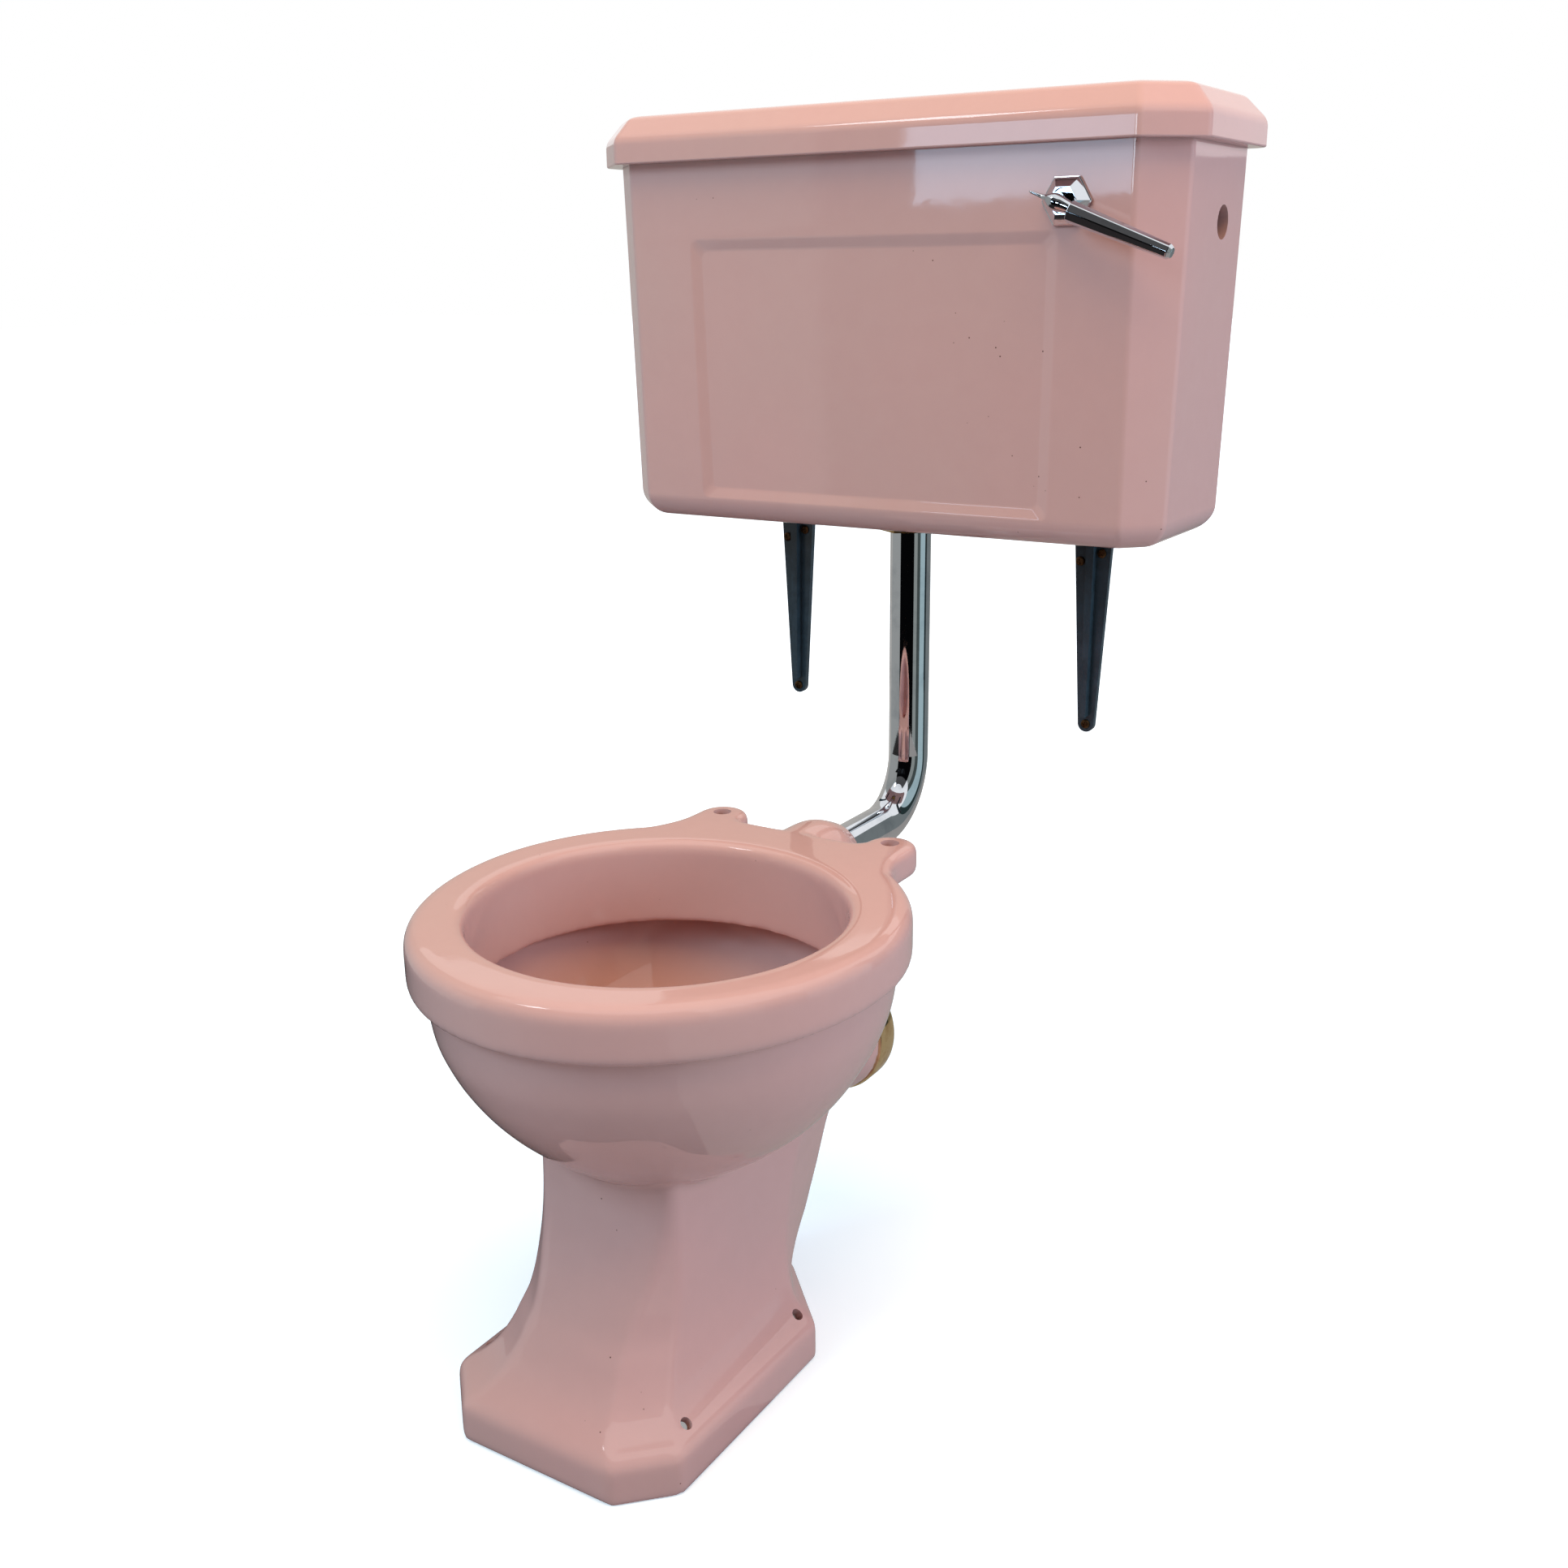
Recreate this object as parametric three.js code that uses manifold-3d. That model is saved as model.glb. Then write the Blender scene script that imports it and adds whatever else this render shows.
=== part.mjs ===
// A low-level toilet: a washdown pan on a faceted pedestal, a cistern on two wall brackets,
// and the bent flush pipe between them. Sizes are in millimetres and +Z is up.
// While the set is drawn, x = 0 is its centre plane, y = 0 the line of the seat holes, and the
// wall lies towards +Y. At the end the whole set moves so that its origin is under its middle.
import * as THREE from 'three';
import { LoftGeometry } from 'three/addons/geometries/LoftGeometry.js';
import { mergeVertices } from 'three/addons/utils/BufferGeometryUtils.js';
import Module from 'manifold-3d';

const wasm = await Module();
wasm.setup();

// Driving sizes of the pan
const rimHeight = 400;
const rimHalfWidth = 192;
const rimFrontY = -415;
const rimRearY = -15;
const footHalfWidth = 110;
const footRearY = -97;
const outletHeight = 190;

// Driving sizes of the cistern and what holds it
const setHeight = 1001;
const lidHeight = 41;
const bodyHeight = 316;
const bodyDepth = 171;
const bodyHalfWidthTop = 272.5;
const wallY = 276;
const pipeRadius = 19;
const bracketX = 160.3;

// Common clearances and counts
const gap = 0.3;
const overrun = 2;
const slack = 0.4;
const ringSides = 36;
const tubeSides = 20;
const legSides = 16;
const screwSides = 10;
const cornerSteps = 2;
const edgeSteps = 4;
const up = new THREE.Vector3(0, 0, 1);
const sweepAcross = new THREE.Vector3(1, 0, 0);
const toWall = new THREE.Vector3(0, 1, 0);
const fromWall = new THREE.Vector3(0, -1, 0);

// Finishes
const glaze = { color: 0xc9999b, roughness: 0.12, metalness: 0 };
const chrome = { color: 0xc8ccd0, roughness: 0.08, metalness: 1 };
const brass = { color: 0xb89550, roughness: 0.25, metalness: 1 };
const iron = { color: 0x2b363b, roughness: 0.45, metalness: 0.3 };
const steel = { color: 0x8a7a5c, roughness: 0.4, metalness: 1 };
const rubber = { color: 0x1e1e1e, roughness: 0.8, metalness: 0 };
const copper = { color: 0xb36a45, roughness: 0.3, metalness: 1 };
const plastic = { color: 0xd9d6cb, roughness: 0.5, metalness: 0 };

const toilet = new THREE.Group();

// Turns a closed geometry into a solid that can be joined and cut.
function toSolid(geometry) {
  const bare = new THREE.BufferGeometry();
  bare.setAttribute('position', geometry.attributes.position);
  bare.setIndex(geometry.index);
  const welded = mergeVertices(bare);
  const faces = [];
  const index = welded.index.array;
  for (let i = 0; i < index.length; i += 3) {
    const [a, b, c] = [index[i], index[i + 1], index[i + 2]];
    if (a !== b && b !== c && c !== a) faces.push(a, b, c);
  }
  const vertProperties = new Float32Array(welded.attributes.position.array);
  return new wasm.Manifold(new wasm.Mesh({ numProp: 3, vertProperties, triVerts: new Uint32Array(faces) }));
}

// Adds a solid to the set as a named mesh with its finish.
function addPiece(name, solid, finish) {
  const mesh = solid.getMesh();
  const geometry = new THREE.BufferGeometry();
  geometry.setAttribute('position', new THREE.BufferAttribute(new Float32Array(mesh.vertProperties), 3));
  geometry.setIndex(new THREE.BufferAttribute(new Uint32Array(mesh.triVerts), 1));
  geometry.computeVertexNormals();
  const piece = new THREE.Mesh(geometry, new THREE.MeshStandardMaterial(finish));
  piece.name = name;
  toilet.add(piece);
  return piece;
}

function union(...solids) {
  return solids.reduce((whole, solid) => whole.add(solid));
}

function cut(solid, ...tools) {
  return tools.reduce((rest, tool) => rest.subtract(tool), solid);
}

// A closed body through a row of rings, each a list of points in the same order.
function loft(sections) {
  return toSolid(new LoftGeometry(sections, { capStart: true, capEnd: true }));
}

// Carries a geometry's own +Z to a direction, and its origin to a place.
function aim(geometry, place, direction) {
  const turn = new THREE.Quaternion().setFromUnitVectors(up, direction.clone().normalize());
  geometry.applyQuaternion(turn);
  geometry.translate(place.x, place.y, place.z);
  return geometry;
}

// A rod between two points, round or with a few flat sides.
function rod(from, to, radius, sides = tubeSides, endRadius = radius) {
  const length = from.distanceTo(to);
  const geometry = new THREE.CylinderGeometry(endRadius, radius, length, sides);
  geometry.rotateX(Math.PI / 2);
  geometry.translate(0, 0, length / 2);
  return toSolid(aim(geometry, from, to.clone().sub(from)));
}

// A rod along X, Y or Z that runs from one coordinate to another on that axis.
function rodX(x0, x1, y, z, radius, sides, endRadius) {
  return rod(new THREE.Vector3(x0, y, z), new THREE.Vector3(x1, y, z), radius, sides, endRadius);
}

function rodY(x, y0, y1, z, radius, sides, endRadius) {
  return rod(new THREE.Vector3(x, y0, z), new THREE.Vector3(x, y1, z), radius, sides, endRadius);
}

function rodZ(x, y, z0, z1, radius, sides, endRadius) {
  return rod(new THREE.Vector3(x, y, z0), new THREE.Vector3(x, y, z1), radius, sides, endRadius);
}

// A box between two corners.
function block(x0, x1, y0, y1, z0, z1) {
  const geometry = new THREE.BoxGeometry(x1 - x0, y1 - y0, z1 - z0);
  geometry.translate((x0 + x1) / 2, (y0 + y1) / 2, (z0 + z1) / 2);
  return toSolid(geometry);
}

// A body turned around a line: the profile is a list of [distance along, radius].
function turned(profile, place, direction, sides = tubeSides) {
  const points = profile.map(([along, radius]) => new THREE.Vector2(radius, along));
  const geometry = new THREE.LatheGeometry(points, sides, Math.PI / 2);
  geometry.rotateX(Math.PI / 2);
  return toSolid(aim(geometry, place, direction));
}

// A solid tube of one radius through the points of a curve.
function sweptRings(points, radius, sides) {
  const curve = new THREE.CatmullRomCurve3(points, false, 'centripetal');
  const side = new THREE.Vector3();
  return points.map((point, i) => {
    const tangent = curve.getTangent(i / (points.length - 1));
    side.crossVectors(tangent, sweepAcross).normalize();
    const ring = [];
    for (let j = 0; j < sides; j += 1) {
      const angle = (j / sides) * Math.PI * 2;
      ring.push(point.clone()
        .addScaledVector(sweepAcross, radius * Math.cos(angle))
        .addScaledVector(side, radius * Math.sin(angle)));
    }
    return ring;
  });
}

// Rounds the corners of a polygon given counterclockwise, each by its own radius.
function roundedOutline(corners, segments) {
  const outline = [];
  corners.forEach(({ x, y, radius }, i) => {
    const before = corners[(i + corners.length - 1) % corners.length];
    const after = corners[(i + 1) % corners.length];
    const corner = new THREE.Vector2(x, y);
    const back = new THREE.Vector2(before.x - x, before.y - y);
    const on = new THREE.Vector2(after.x - x, after.y - y);
    const cosine = back.dot(on) / (back.length() * on.length());
    const turn = Math.PI - Math.acos(THREE.MathUtils.clamp(cosine, -1, 1));
    const reach = Math.min(radius * Math.tan(turn / 2), back.length() / 2, on.length() / 2);
    const start = corner.clone().addScaledVector(back.normalize(), reach);
    const end = corner.clone().addScaledVector(on.normalize(), reach);
    const arc = new THREE.QuadraticBezierCurve(start, corner, end);
    outline.push(...arc.getPoints(segments));
  });
  return outline;
}

// An egg-shaped ring: an ellipse in front of the middle line, another one behind it.
function eggRing(z, halfWidth, frontY, rearY, middleY, sides = ringSides) {
  const ring = [];
  for (let i = 0; i < sides; i += 1) {
    const angle = (i / sides) * Math.PI * 2;
    const reach = Math.sin(angle) < 0 ? middleY - frontY : rearY - middleY;
    ring.push(new THREE.Vector3(halfWidth * Math.cos(angle), middleY + reach * Math.sin(angle), z));
  }
  return ring;
}

// Pan: rim band. The widest line of the rim lies a little behind the middle of its length.
const rimBandDepth = 42;
const rimEdgeRadius = 12;
const rimFootRadius = 4;
const rimFootSteps = 2;
const rimMiddleShare = 0.475;
const rimMiddleY = THREE.MathUtils.lerp(rimRearY, rimFrontY, rimMiddleShare);

// The rim's edge as rows of height and inset, rounded below and above.
function roundedEdge(bottomZ, topZ, lowerRadius, upperRadius, lowerSteps, steps) {
  const rows = [];
  for (let i = 0; i <= lowerSteps; i += 1) {
    const angle = (i / lowerSteps) * (Math.PI / 2);
    rows.push([bottomZ + lowerRadius * (1 - Math.cos(angle)), lowerRadius * (1 - Math.sin(angle))]);
  }
  for (let i = 0; i <= steps; i += 1) {
    const angle = (i / steps) * (Math.PI / 2);
    rows.push([topZ - upperRadius * (1 - Math.sin(angle)), upperRadius * (1 - Math.cos(angle))]);
  }
  return rows;
}

function rimBand() {
  const bottomZ = rimHeight - rimBandDepth;
  const rows = roundedEdge(bottomZ, rimHeight, rimFootRadius, rimEdgeRadius, rimFootSteps, edgeSteps);
  return loft(rows.map(([z, inset]) => (
    eggRing(z, rimHalfWidth - inset, rimFrontY + inset, rimRearY - inset, rimMiddleY)
  )));
}

// Pan: seat lugs, drawn as one plate with the rear of the rim
const seatHoleX = 86;
const seatHoleRadius = 8;
const lugRadius = 23;
const lugThickness = 28;
const lugEdgeRadius = 7;
const lugBevelSteps = 3;
const lugCurveSteps = 4;
const lugNeckX = seatHoleX + lugRadius;
const lugSpread = 15;
const lugInnerX = seatHoleX - lugRadius - lugSpread;
const plateStep = 5;
const plateReach = 95;
const plateNeckReach = 30;
const plateShoulderReach = 65;
const plateShoulderInset = 60;
const plateRearY = rimRearY + plateStep;
const plateWaistY = rimRearY - plateStep;
const plateNeckY = rimRearY - plateNeckReach;
const plateShoulderY = rimRearY - plateShoulderReach;
const plateFrontY = rimRearY - plateReach;
const plateShoulderX = rimHalfWidth - plateShoulderInset;

function lugPlate() {
  const e = lugEdgeRadius;
  const shape = new THREE.Shape();
  shape.moveTo(0, plateFrontY);
  shape.lineTo(plateShoulderX - e, plateFrontY);
  shape.lineTo(plateShoulderX - e, plateShoulderY);
  shape.quadraticCurveTo(lugNeckX - e, plateNeckY, lugNeckX - e, plateWaistY);
  shape.quadraticCurveTo(lugNeckX - e, 0, seatHoleX + lugRadius - e, 0);
  shape.absarc(seatHoleX, 0, lugRadius - e, 0, Math.PI, false);
  shape.quadraticCurveTo(seatHoleX - lugRadius + e, plateRearY - e, lugInnerX, plateRearY - e);
  shape.lineTo(-lugInnerX, plateRearY - e);
  shape.quadraticCurveTo(-seatHoleX + lugRadius - e, plateRearY - e, -seatHoleX + lugRadius - e, 0);
  shape.absarc(-seatHoleX, 0, lugRadius - e, 0, Math.PI, false);
  shape.quadraticCurveTo(-lugNeckX + e, 0, -lugNeckX + e, plateWaistY);
  shape.quadraticCurveTo(-lugNeckX + e, plateNeckY, -plateShoulderX + e, plateShoulderY);
  shape.lineTo(-plateShoulderX + e, plateFrontY);
  const geometry = new THREE.ExtrudeGeometry(shape, {
    depth: lugThickness - 2 * e,
    bevelEnabled: true,
    bevelThickness: e,
    bevelSize: e,
    bevelSegments: lugBevelSteps,
    curveSegments: lugCurveSteps,
  });
  geometry.translate(0, 0, rimHeight - lugThickness + e);
  return toSolid(geometry);
}

// Pan: bowl outside, as shares of its depth below the rim band and of its reach at the top
const bowlBottomShare = 0.47;
const bowlTopZ = rimHeight - rimBandDepth;
const bowlBottomZ = rimHeight * bowlBottomShare;
const bowlInset = 11;
const bowlHalfWidth = rimHalfWidth - bowlInset;
const bowlFrontY = rimFrontY + bowlInset;
const bowlRearSpread = 1;
const bowlRearY = rimRearY + bowlRearSpread;
const bowlShares = [
  // height, reach to the front, reach to the rear, half width
  [0, 0.38, 0.34, 0.32],
  [0.07, 0.467, 0.471, 0.431],
  [0.14, 0.548, 0.602, 0.541],
  [0.235, 0.648, 0.728, 0.657],
  [0.353, 0.754, 0.832, 0.762],
  [0.482, 0.844, 0.906, 0.845],
  [0.63, 0.92, 0.958, 0.917],
  [0.776, 0.97, 0.99, 0.961],
  [0.924, 0.99, 1, 0.983],
  [1, 1, 1, 1],
];

function bowlOutside() {
  return loft(bowlShares.map(([height, front, rear, width]) => eggRing(
    THREE.MathUtils.lerp(bowlBottomZ, bowlTopZ, height),
    bowlHalfWidth * width,
    rimMiddleY - (rimMiddleY - bowlFrontY) * front,
    rimMiddleY + (bowlRearY - rimMiddleY) * rear,
    rimMiddleY,
  )));
}

// Pan: pedestal. Its plan has eight corners: a chamfer at each front corner that dies out
// upwards, sides that taper behind, and a narrow rear face that leans back over the foot.
const pedestalTopShare = 0.515;
const pedestalHeadShare = 0.59;
const pedestalTopZ = rimHeight * pedestalTopShare;
const pedestalHeadZ = rimHeight * pedestalHeadShare;
const waistWidthShare = 0.6;
const rearWidthShare = 0.41;
const waistHalfWidth = footHalfWidth * waistWidthShare;
const rearHalfWidth = footHalfWidth * rearWidthShare;
const footChamfer = 39;
const footSetback = 19.5;
const waistSetback = 123.5;
const footFrontY = rimFrontY + footSetback;
const waistFrontY = rimFrontY + waistSetback;
const waistRearReach = 105;
const waistRearY = footRearY + waistRearReach;
const footRearTaper = 68;
const waistRearTaper = 100;
const footSideRearY = footRearY - footRearTaper;
const waistSideRearY = waistRearY - waistRearTaper;
const footCornerRadius = 10;
const pedestalShares = [
  // height, spread of the sides, reach of the front corner, chamfer, rear end of the side, rear lean
  [0, 1, 1, 1, 1, 0],
  [0.135, 1, 1, 1, 1, 0],
  [0.158, 0.97, 0.985, 0.97, 1, -0.02],
  [0.175, 0.88, 0.95, 0.95, 1, -0.06],
  [0.195, 0.72, 0.88, 0.92, 1, -0.1],
  [0.245, 0.486, 0.693, 0.87, 0.98, -0.11],
  [0.27, 0.42, 0.62, 0.84, 0.96, -0.06],
  [0.33, 0.3, 0.49, 0.79, 0.93, 0.14],
  [0.38, 0.234, 0.398, 0.77, 0.9, 0.24],
  [0.447, 0.157, 0.265, 0.72, 0.82, 0.32],
  [0.53, 0.107, 0.172, 0.64, 0.73, 0.42],
  [0.617, 0.08, 0.098, 0.51, 0.67, 0.51],
  [0.71, 0.045, 0.05, 0.38, 0.55, 0.61],
  [0.806, 0.016, 0.022, 0.28, 0.37, 0.76],
  [0.903, 0, 0.01, 0.2, 0.2, 0.88],
  [1, 0, 0, 0.18, 0, 1],
];

// How much a chamfer shortens, and the rear corner moves in, when an outline is drawn in.
const chamferInsetShare = 0.586;
const rearInsetShare = 0.45;

// One ring of the pedestal, drawn in by an inset on every side.
function pedestalRing(row, z, inset) {
  const [, spread, front, chamferShare, sideRear, lean] = row;
  const chamfer = Math.max(footChamfer * chamferShare - inset * chamferInsetShare, 0);
  const half = THREE.MathUtils.lerp(waistHalfWidth, footHalfWidth, spread) - inset;
  const cornerY = THREE.MathUtils.lerp(waistFrontY, footFrontY + footChamfer, front);
  const frontY = cornerY - footChamfer * chamferShare + inset;
  const sideRearY = THREE.MathUtils.lerp(waistSideRearY, footSideRearY, sideRear) - inset * rearInsetShare;
  const rearY = THREE.MathUtils.lerp(footRearY, waistRearY, lean) - inset;
  const rearHalf = rearHalfWidth - inset * rearInsetShare;
  const radius = footCornerRadius;
  const corners = [
    { x: half - chamfer, y: frontY, radius },
    { x: half, y: frontY + chamfer, radius },
    { x: half, y: sideRearY, radius },
    { x: rearHalf, y: rearY, radius },
    { x: -rearHalf, y: rearY, radius },
    { x: -half, y: sideRearY, radius },
    { x: -half, y: frontY + chamfer, radius },
    { x: -half + chamfer, y: frontY, radius },
  ];
  return roundedOutline(corners, cornerSteps).map((point) => new THREE.Vector3(point.x, point.y, z));
}

function pedestal() {
  const rings = pedestalShares.map((row) => pedestalRing(row, row[0] * pedestalTopZ, 0));
  rings.push(pedestalRing(pedestalShares[pedestalShares.length - 1], pedestalHeadZ, 0));
  return loft(rings);
}

// Pan: the hollow under the pedestal, open at the floor
const ceramicWall = 12;
const hollowRows = [2, 4, 6, 8, 10, 12];

function pedestalHollow() {
  const rings = hollowRows.map((i) => (
    pedestalRing(pedestalShares[i], pedestalShares[i][0] * pedestalTopZ, ceramicWall)
  ));
  return loft([pedestalRing(pedestalShares[0], -overrun, ceramicWall), ...rings]);
}

// Pan: the opening in the rim and the flushing skirt that hangs from it
const rimTopWidth = 44;
const rimTopFront = 50;
const rimTopRear = 56;
const openingShift = 10;
const openingHalfWidth = rimHalfWidth - rimTopWidth;
const openingFrontY = rimFrontY + rimTopFront;
const openingRearY = rimRearY - rimTopRear;
const openingMiddleY = rimMiddleY - openingShift;
const openingEdgeRadius = 9;
const skirtDepth = 73;
const skirtBottomZ = rimHeight - skirtDepth;
const skirtThickness = 9;

function openingRing(z, grow) {
  return eggRing(z, openingHalfWidth + grow, openingFrontY - grow, openingRearY + grow, openingMiddleY);
}

function rimOpening() {
  const rings = [openingRing(skirtBottomZ - overrun, 0)];
  for (let i = 0; i <= edgeSteps; i += 1) {
    const angle = (i / edgeSteps) * (Math.PI / 2);
    rings.push(openingRing(
      rimHeight - openingEdgeRadius * (1 - Math.sin(angle)),
      openingEdgeRadius * (1 - Math.cos(angle)),
    ));
  }
  rings.push(openingRing(rimHeight + overrun, openingEdgeRadius));
  return loft(rings);
}

function skirtBlock() {
  return loft([
    openingRing(skirtBottomZ, skirtThickness),
    openingRing(rimHeight, skirtThickness),
  ]);
}

// Pan: bowl inside with its sump, as shares of its height and of its reach at the top
const rimTopThickness = 12;
const insideInset = 22;
const insideRearInset = 12;
const insideTopZ = rimHeight - rimTopThickness;
const insideBottomZ = 50;
const insideHalfWidth = rimHalfWidth - insideInset;
const insideFrontY = rimFrontY + insideInset;
const insideRearY = rimRearY - insideRearInset;
const insideMiddleY = openingMiddleY;
const insideShares = [
  // height, reach to the front, reach to the rear, half width
  [0, 0.06, 0.12, 0.08],
  [0.03, 0.15, 0.2, 0.19],
  [0.15, 0.21, 0.235, 0.245],
  [0.325, 0.264, 0.282, 0.282],
  [0.4, 0.309, 0.314, 0.329],
  [0.444, 0.388, 0.367, 0.412],
  [0.5, 0.53, 0.49, 0.565],
  [0.57, 0.685, 0.67, 0.705],
  [0.651, 0.826, 0.835, 0.829],
  [0.75, 0.93, 0.945, 0.92],
  [0.86, 0.985, 0.995, 0.98],
  [1, 1, 1, 1],
];
const sumpRows = 7;

function insideRings(rows, grow) {
  return rows.map(([height, front, rear, width]) => eggRing(
    THREE.MathUtils.lerp(insideBottomZ, insideTopZ, height),
    insideHalfWidth * width + grow,
    insideMiddleY - (insideMiddleY - insideFrontY) * front - grow,
    insideMiddleY + (insideRearY - insideMiddleY) * rear + grow,
    insideMiddleY,
  ));
}

// The sump's outer wall, with a floor as thick as its sides.
function sumpWall() {
  const rings = insideRings(insideShares.slice(0, sumpRows), ceramicWall);
  rings[0].forEach((point) => point.setZ(insideBottomZ - ceramicWall));
  return loft(rings);
}

// Pan: trapway from the sump over its weir to the outlet, as shares of its run and of the outlet's
// height
const trapRadius = 34;
const trapWall = 10;
const trapSides = 20;
const trapStartOffset = 4;
const trapStartY = insideMiddleY + trapStartOffset;
const trapEndY = 40;
const trapShares = [
  [0, 0.484],
  [0.183, 0.421],
  [0.331, 0.484],
  [0.426, 0.674],
  [0.482, 0.884],
  [0.586, 1.068],
  [0.745, 1.095],
  [0.888, 1.032],
  [1, 1],
];
const trapPath = trapShares.map(([run, height]) => (
  new THREE.Vector3(0, THREE.MathUtils.lerp(trapStartY, trapEndY, run), outletHeight * height)
));

// Pan: outlet spigot, with a shoulder that the collar sits against
const spigotRadius = 51;
const shoulderRadius = 58;
const shoulderRootRadius = 52;
const shoulderWidth = 3;
const outletBore = 42;
const spigotRootY = -45;
const spigotFlareY = 5;
const shoulderY = 37;
const spigotEndY = 62;
const outletBoreY = 4;
const outletPlace = new THREE.Vector3(0, 0, outletHeight);

function spigot() {
  return turned([
    [spigotRootY, 0],
    [spigotRootY, shoulderRootRadius],
    [spigotFlareY, shoulderRootRadius],
    [shoulderY - shoulderWidth, shoulderRadius],
    [shoulderY, shoulderRadius],
    [shoulderY, spigotRadius],
    [spigotEndY, spigotRadius],
    [spigotEndY, 0],
  ], outletPlace, toWall, ringSides);
}

// Pan: flush horn, a domed socket behind the rim
const hornWall = 16;
const hornLipWall = 5;
const hornMouthWall = 8;
const hornSoft = 1;
const sealWall = 4;
const hornBore = pipeRadius + sealWall;
const hornRadius = hornBore + hornWall;
const hornLipRadius = hornBore + hornLipWall;
const hornMouthRadius = hornBore + hornMouthWall;
const hornRootY = -45;
const hornDomeY = 8;
const hornBreakY = 26;
const hornBreakRadius = hornRadius - hornSoft;
const hornMouthY = 52;
const hornLipY = 46;
const hornBoreRootY = -40;
const hornHeight = rimHeight - hornRadius;
const hornPlace = new THREE.Vector3(0, 0, hornHeight);

function horn() {
  return turned([
    [hornRootY, 0],
    [hornRootY, hornRadius],
    [hornDomeY, hornRadius],
    [hornBreakY, hornBreakRadius],
    [hornLipY, hornMouthRadius],
    [hornMouthY, hornLipRadius],
    [hornMouthY, 0],
  ], hornPlace, toWall, trapSides);
}

// Pan: floor screw holes, drilled square to the slope above the foot
const footHoleRadius = 5;
const footHoleInset = 13;
const footHoleFront = 63.5;
const footHoleRear = 8;
const footHoleX = footHalfWidth - footHoleInset;
const footHoleZ = 42;
const footHoleYs = [footFrontY + footHoleFront, footSideRearY - footHoleRear];
const footHoleLength = 40;
const footHoleSlope = new THREE.Vector3(0.59, 0, 0.81);

function footHoles() {
  const holes = [];
  for (const y of footHoleYs) {
    for (const side of [-1, 1]) {
      const axis = footHoleSlope.clone().setX(footHoleSlope.x * side).normalize();
      const middle = new THREE.Vector3(footHoleX * side, y, footHoleZ);
      holes.push(rod(
        middle.clone().addScaledVector(axis, -footHoleLength / 2),
        middle.clone().addScaledVector(axis, footHoleLength / 2),
        footHoleRadius,
        screwSides,
      ));
    }
  }
  return holes;
}

function buildPan() {
  const trapBody = loft(sweptRings(trapPath, trapRadius + trapWall, trapSides));
  const trapBore = loft(sweptRings(trapPath, trapRadius, trapSides));
  const shell = union(rimBand(), lugPlate(), bowlOutside(), pedestal(), trapBody, spigot(), horn());
  const hollow = cut(pedestalHollow(), trapBody, sumpWall());
  const bowl = cut(loft(insideRings(insideShares, 0)), skirtBlock());
  const seatHoles = [-1, 1].map((side) => (
    rodZ(side * seatHoleX, 0, rimHeight - lugThickness - overrun, rimHeight + overrun, seatHoleRadius)
  ));
  return cut(
    shell,
    hollow,
    bowl,
    rimOpening(),
    trapBore,
    rodY(0, outletBoreY, spigotEndY + overrun, outletHeight, outletBore, ringSides),
    rodY(0, hornBoreRootY, hornMouthY + overrun, hornHeight, hornBore),
    ...seatHoles,
    ...footHoles(),
  );
}
addPiece('pan', buildPan(), glaze);

// Outlet collar: a polished ring with a rounded edge on the spigot
const collarRadius = 60;
const collarEndY = 65;
const collarEdge = 7;
const collarSofts = 2;
addPiece('outlet_collar', turned([
  [shoulderY + gap, spigotRadius + gap],
  [shoulderY + gap, collarRadius - collarSofts],
  [shoulderY + gap + collarSofts, collarRadius],
  [collarEndY - collarEdge, collarRadius],
  [collarEndY - collarSofts, collarRadius - collarSofts],
  [collarEndY, collarRadius - collarEdge],
  [collarEndY, spigotRadius + gap],
  [shoulderY + gap, spigotRadius + gap],
], outletPlace, toWall, ringSides), brass);

// Cistern body: outline at a height, drawn in by an inset
const bodyChamferTop = 33;
const bodyChamferBottom = 28.5;
const bodyBackGap = 6;
const bodySideTaper = 8;
const bodyTopZ = setHeight - lidHeight;
const bodyBottomZ = bodyTopZ - bodyHeight;
const bodyBackY = wallY - bodyBackGap;
const bodyFrontTopY = bodyBackY - bodyDepth;
const bodyFrontBottomY = bodyFrontTopY + bodySideTaper;
const bodyHalfWidthBottom = bodyHalfWidthTop - bodySideTaper;
const bodyCornerRadius = 9;
const bodyBottomRadius = 22;
const bodyWall = 10;
const bodyFloor = 12;

function bodyShare(z) {
  return (z - bodyBottomZ) / (bodyTopZ - bodyBottomZ);
}

function bodyHalfWidthAt(z) {
  return THREE.MathUtils.lerp(bodyHalfWidthBottom, bodyHalfWidthTop, bodyShare(z));
}

function bodyFrontAt(z) {
  return THREE.MathUtils.lerp(bodyFrontBottomY, bodyFrontTopY, bodyShare(z));
}

function cisternRing(z, inset, rearInset = inset, shapeZ = z) {
  const half = bodyHalfWidthAt(shapeZ) - inset;
  const frontY = bodyFrontAt(shapeZ) + inset;
  const rearY = bodyBackY - rearInset;
  const full = THREE.MathUtils.lerp(bodyChamferBottom, bodyChamferTop, bodyShare(shapeZ));
  const chamfer = full - inset * chamferInsetShare;
  const radius = bodyCornerRadius;
  const corners = [
    { x: half - chamfer, y: frontY, radius },
    { x: half, y: frontY + chamfer, radius },
    { x: half, y: rearY, radius },
    { x: -half, y: rearY, radius },
    { x: -half, y: frontY + chamfer, radius },
    { x: -half + chamfer, y: frontY, radius },
  ];
  return roundedOutline(corners, cornerSteps).map((point) => new THREE.Vector3(point.x, point.y, z));
}

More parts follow.
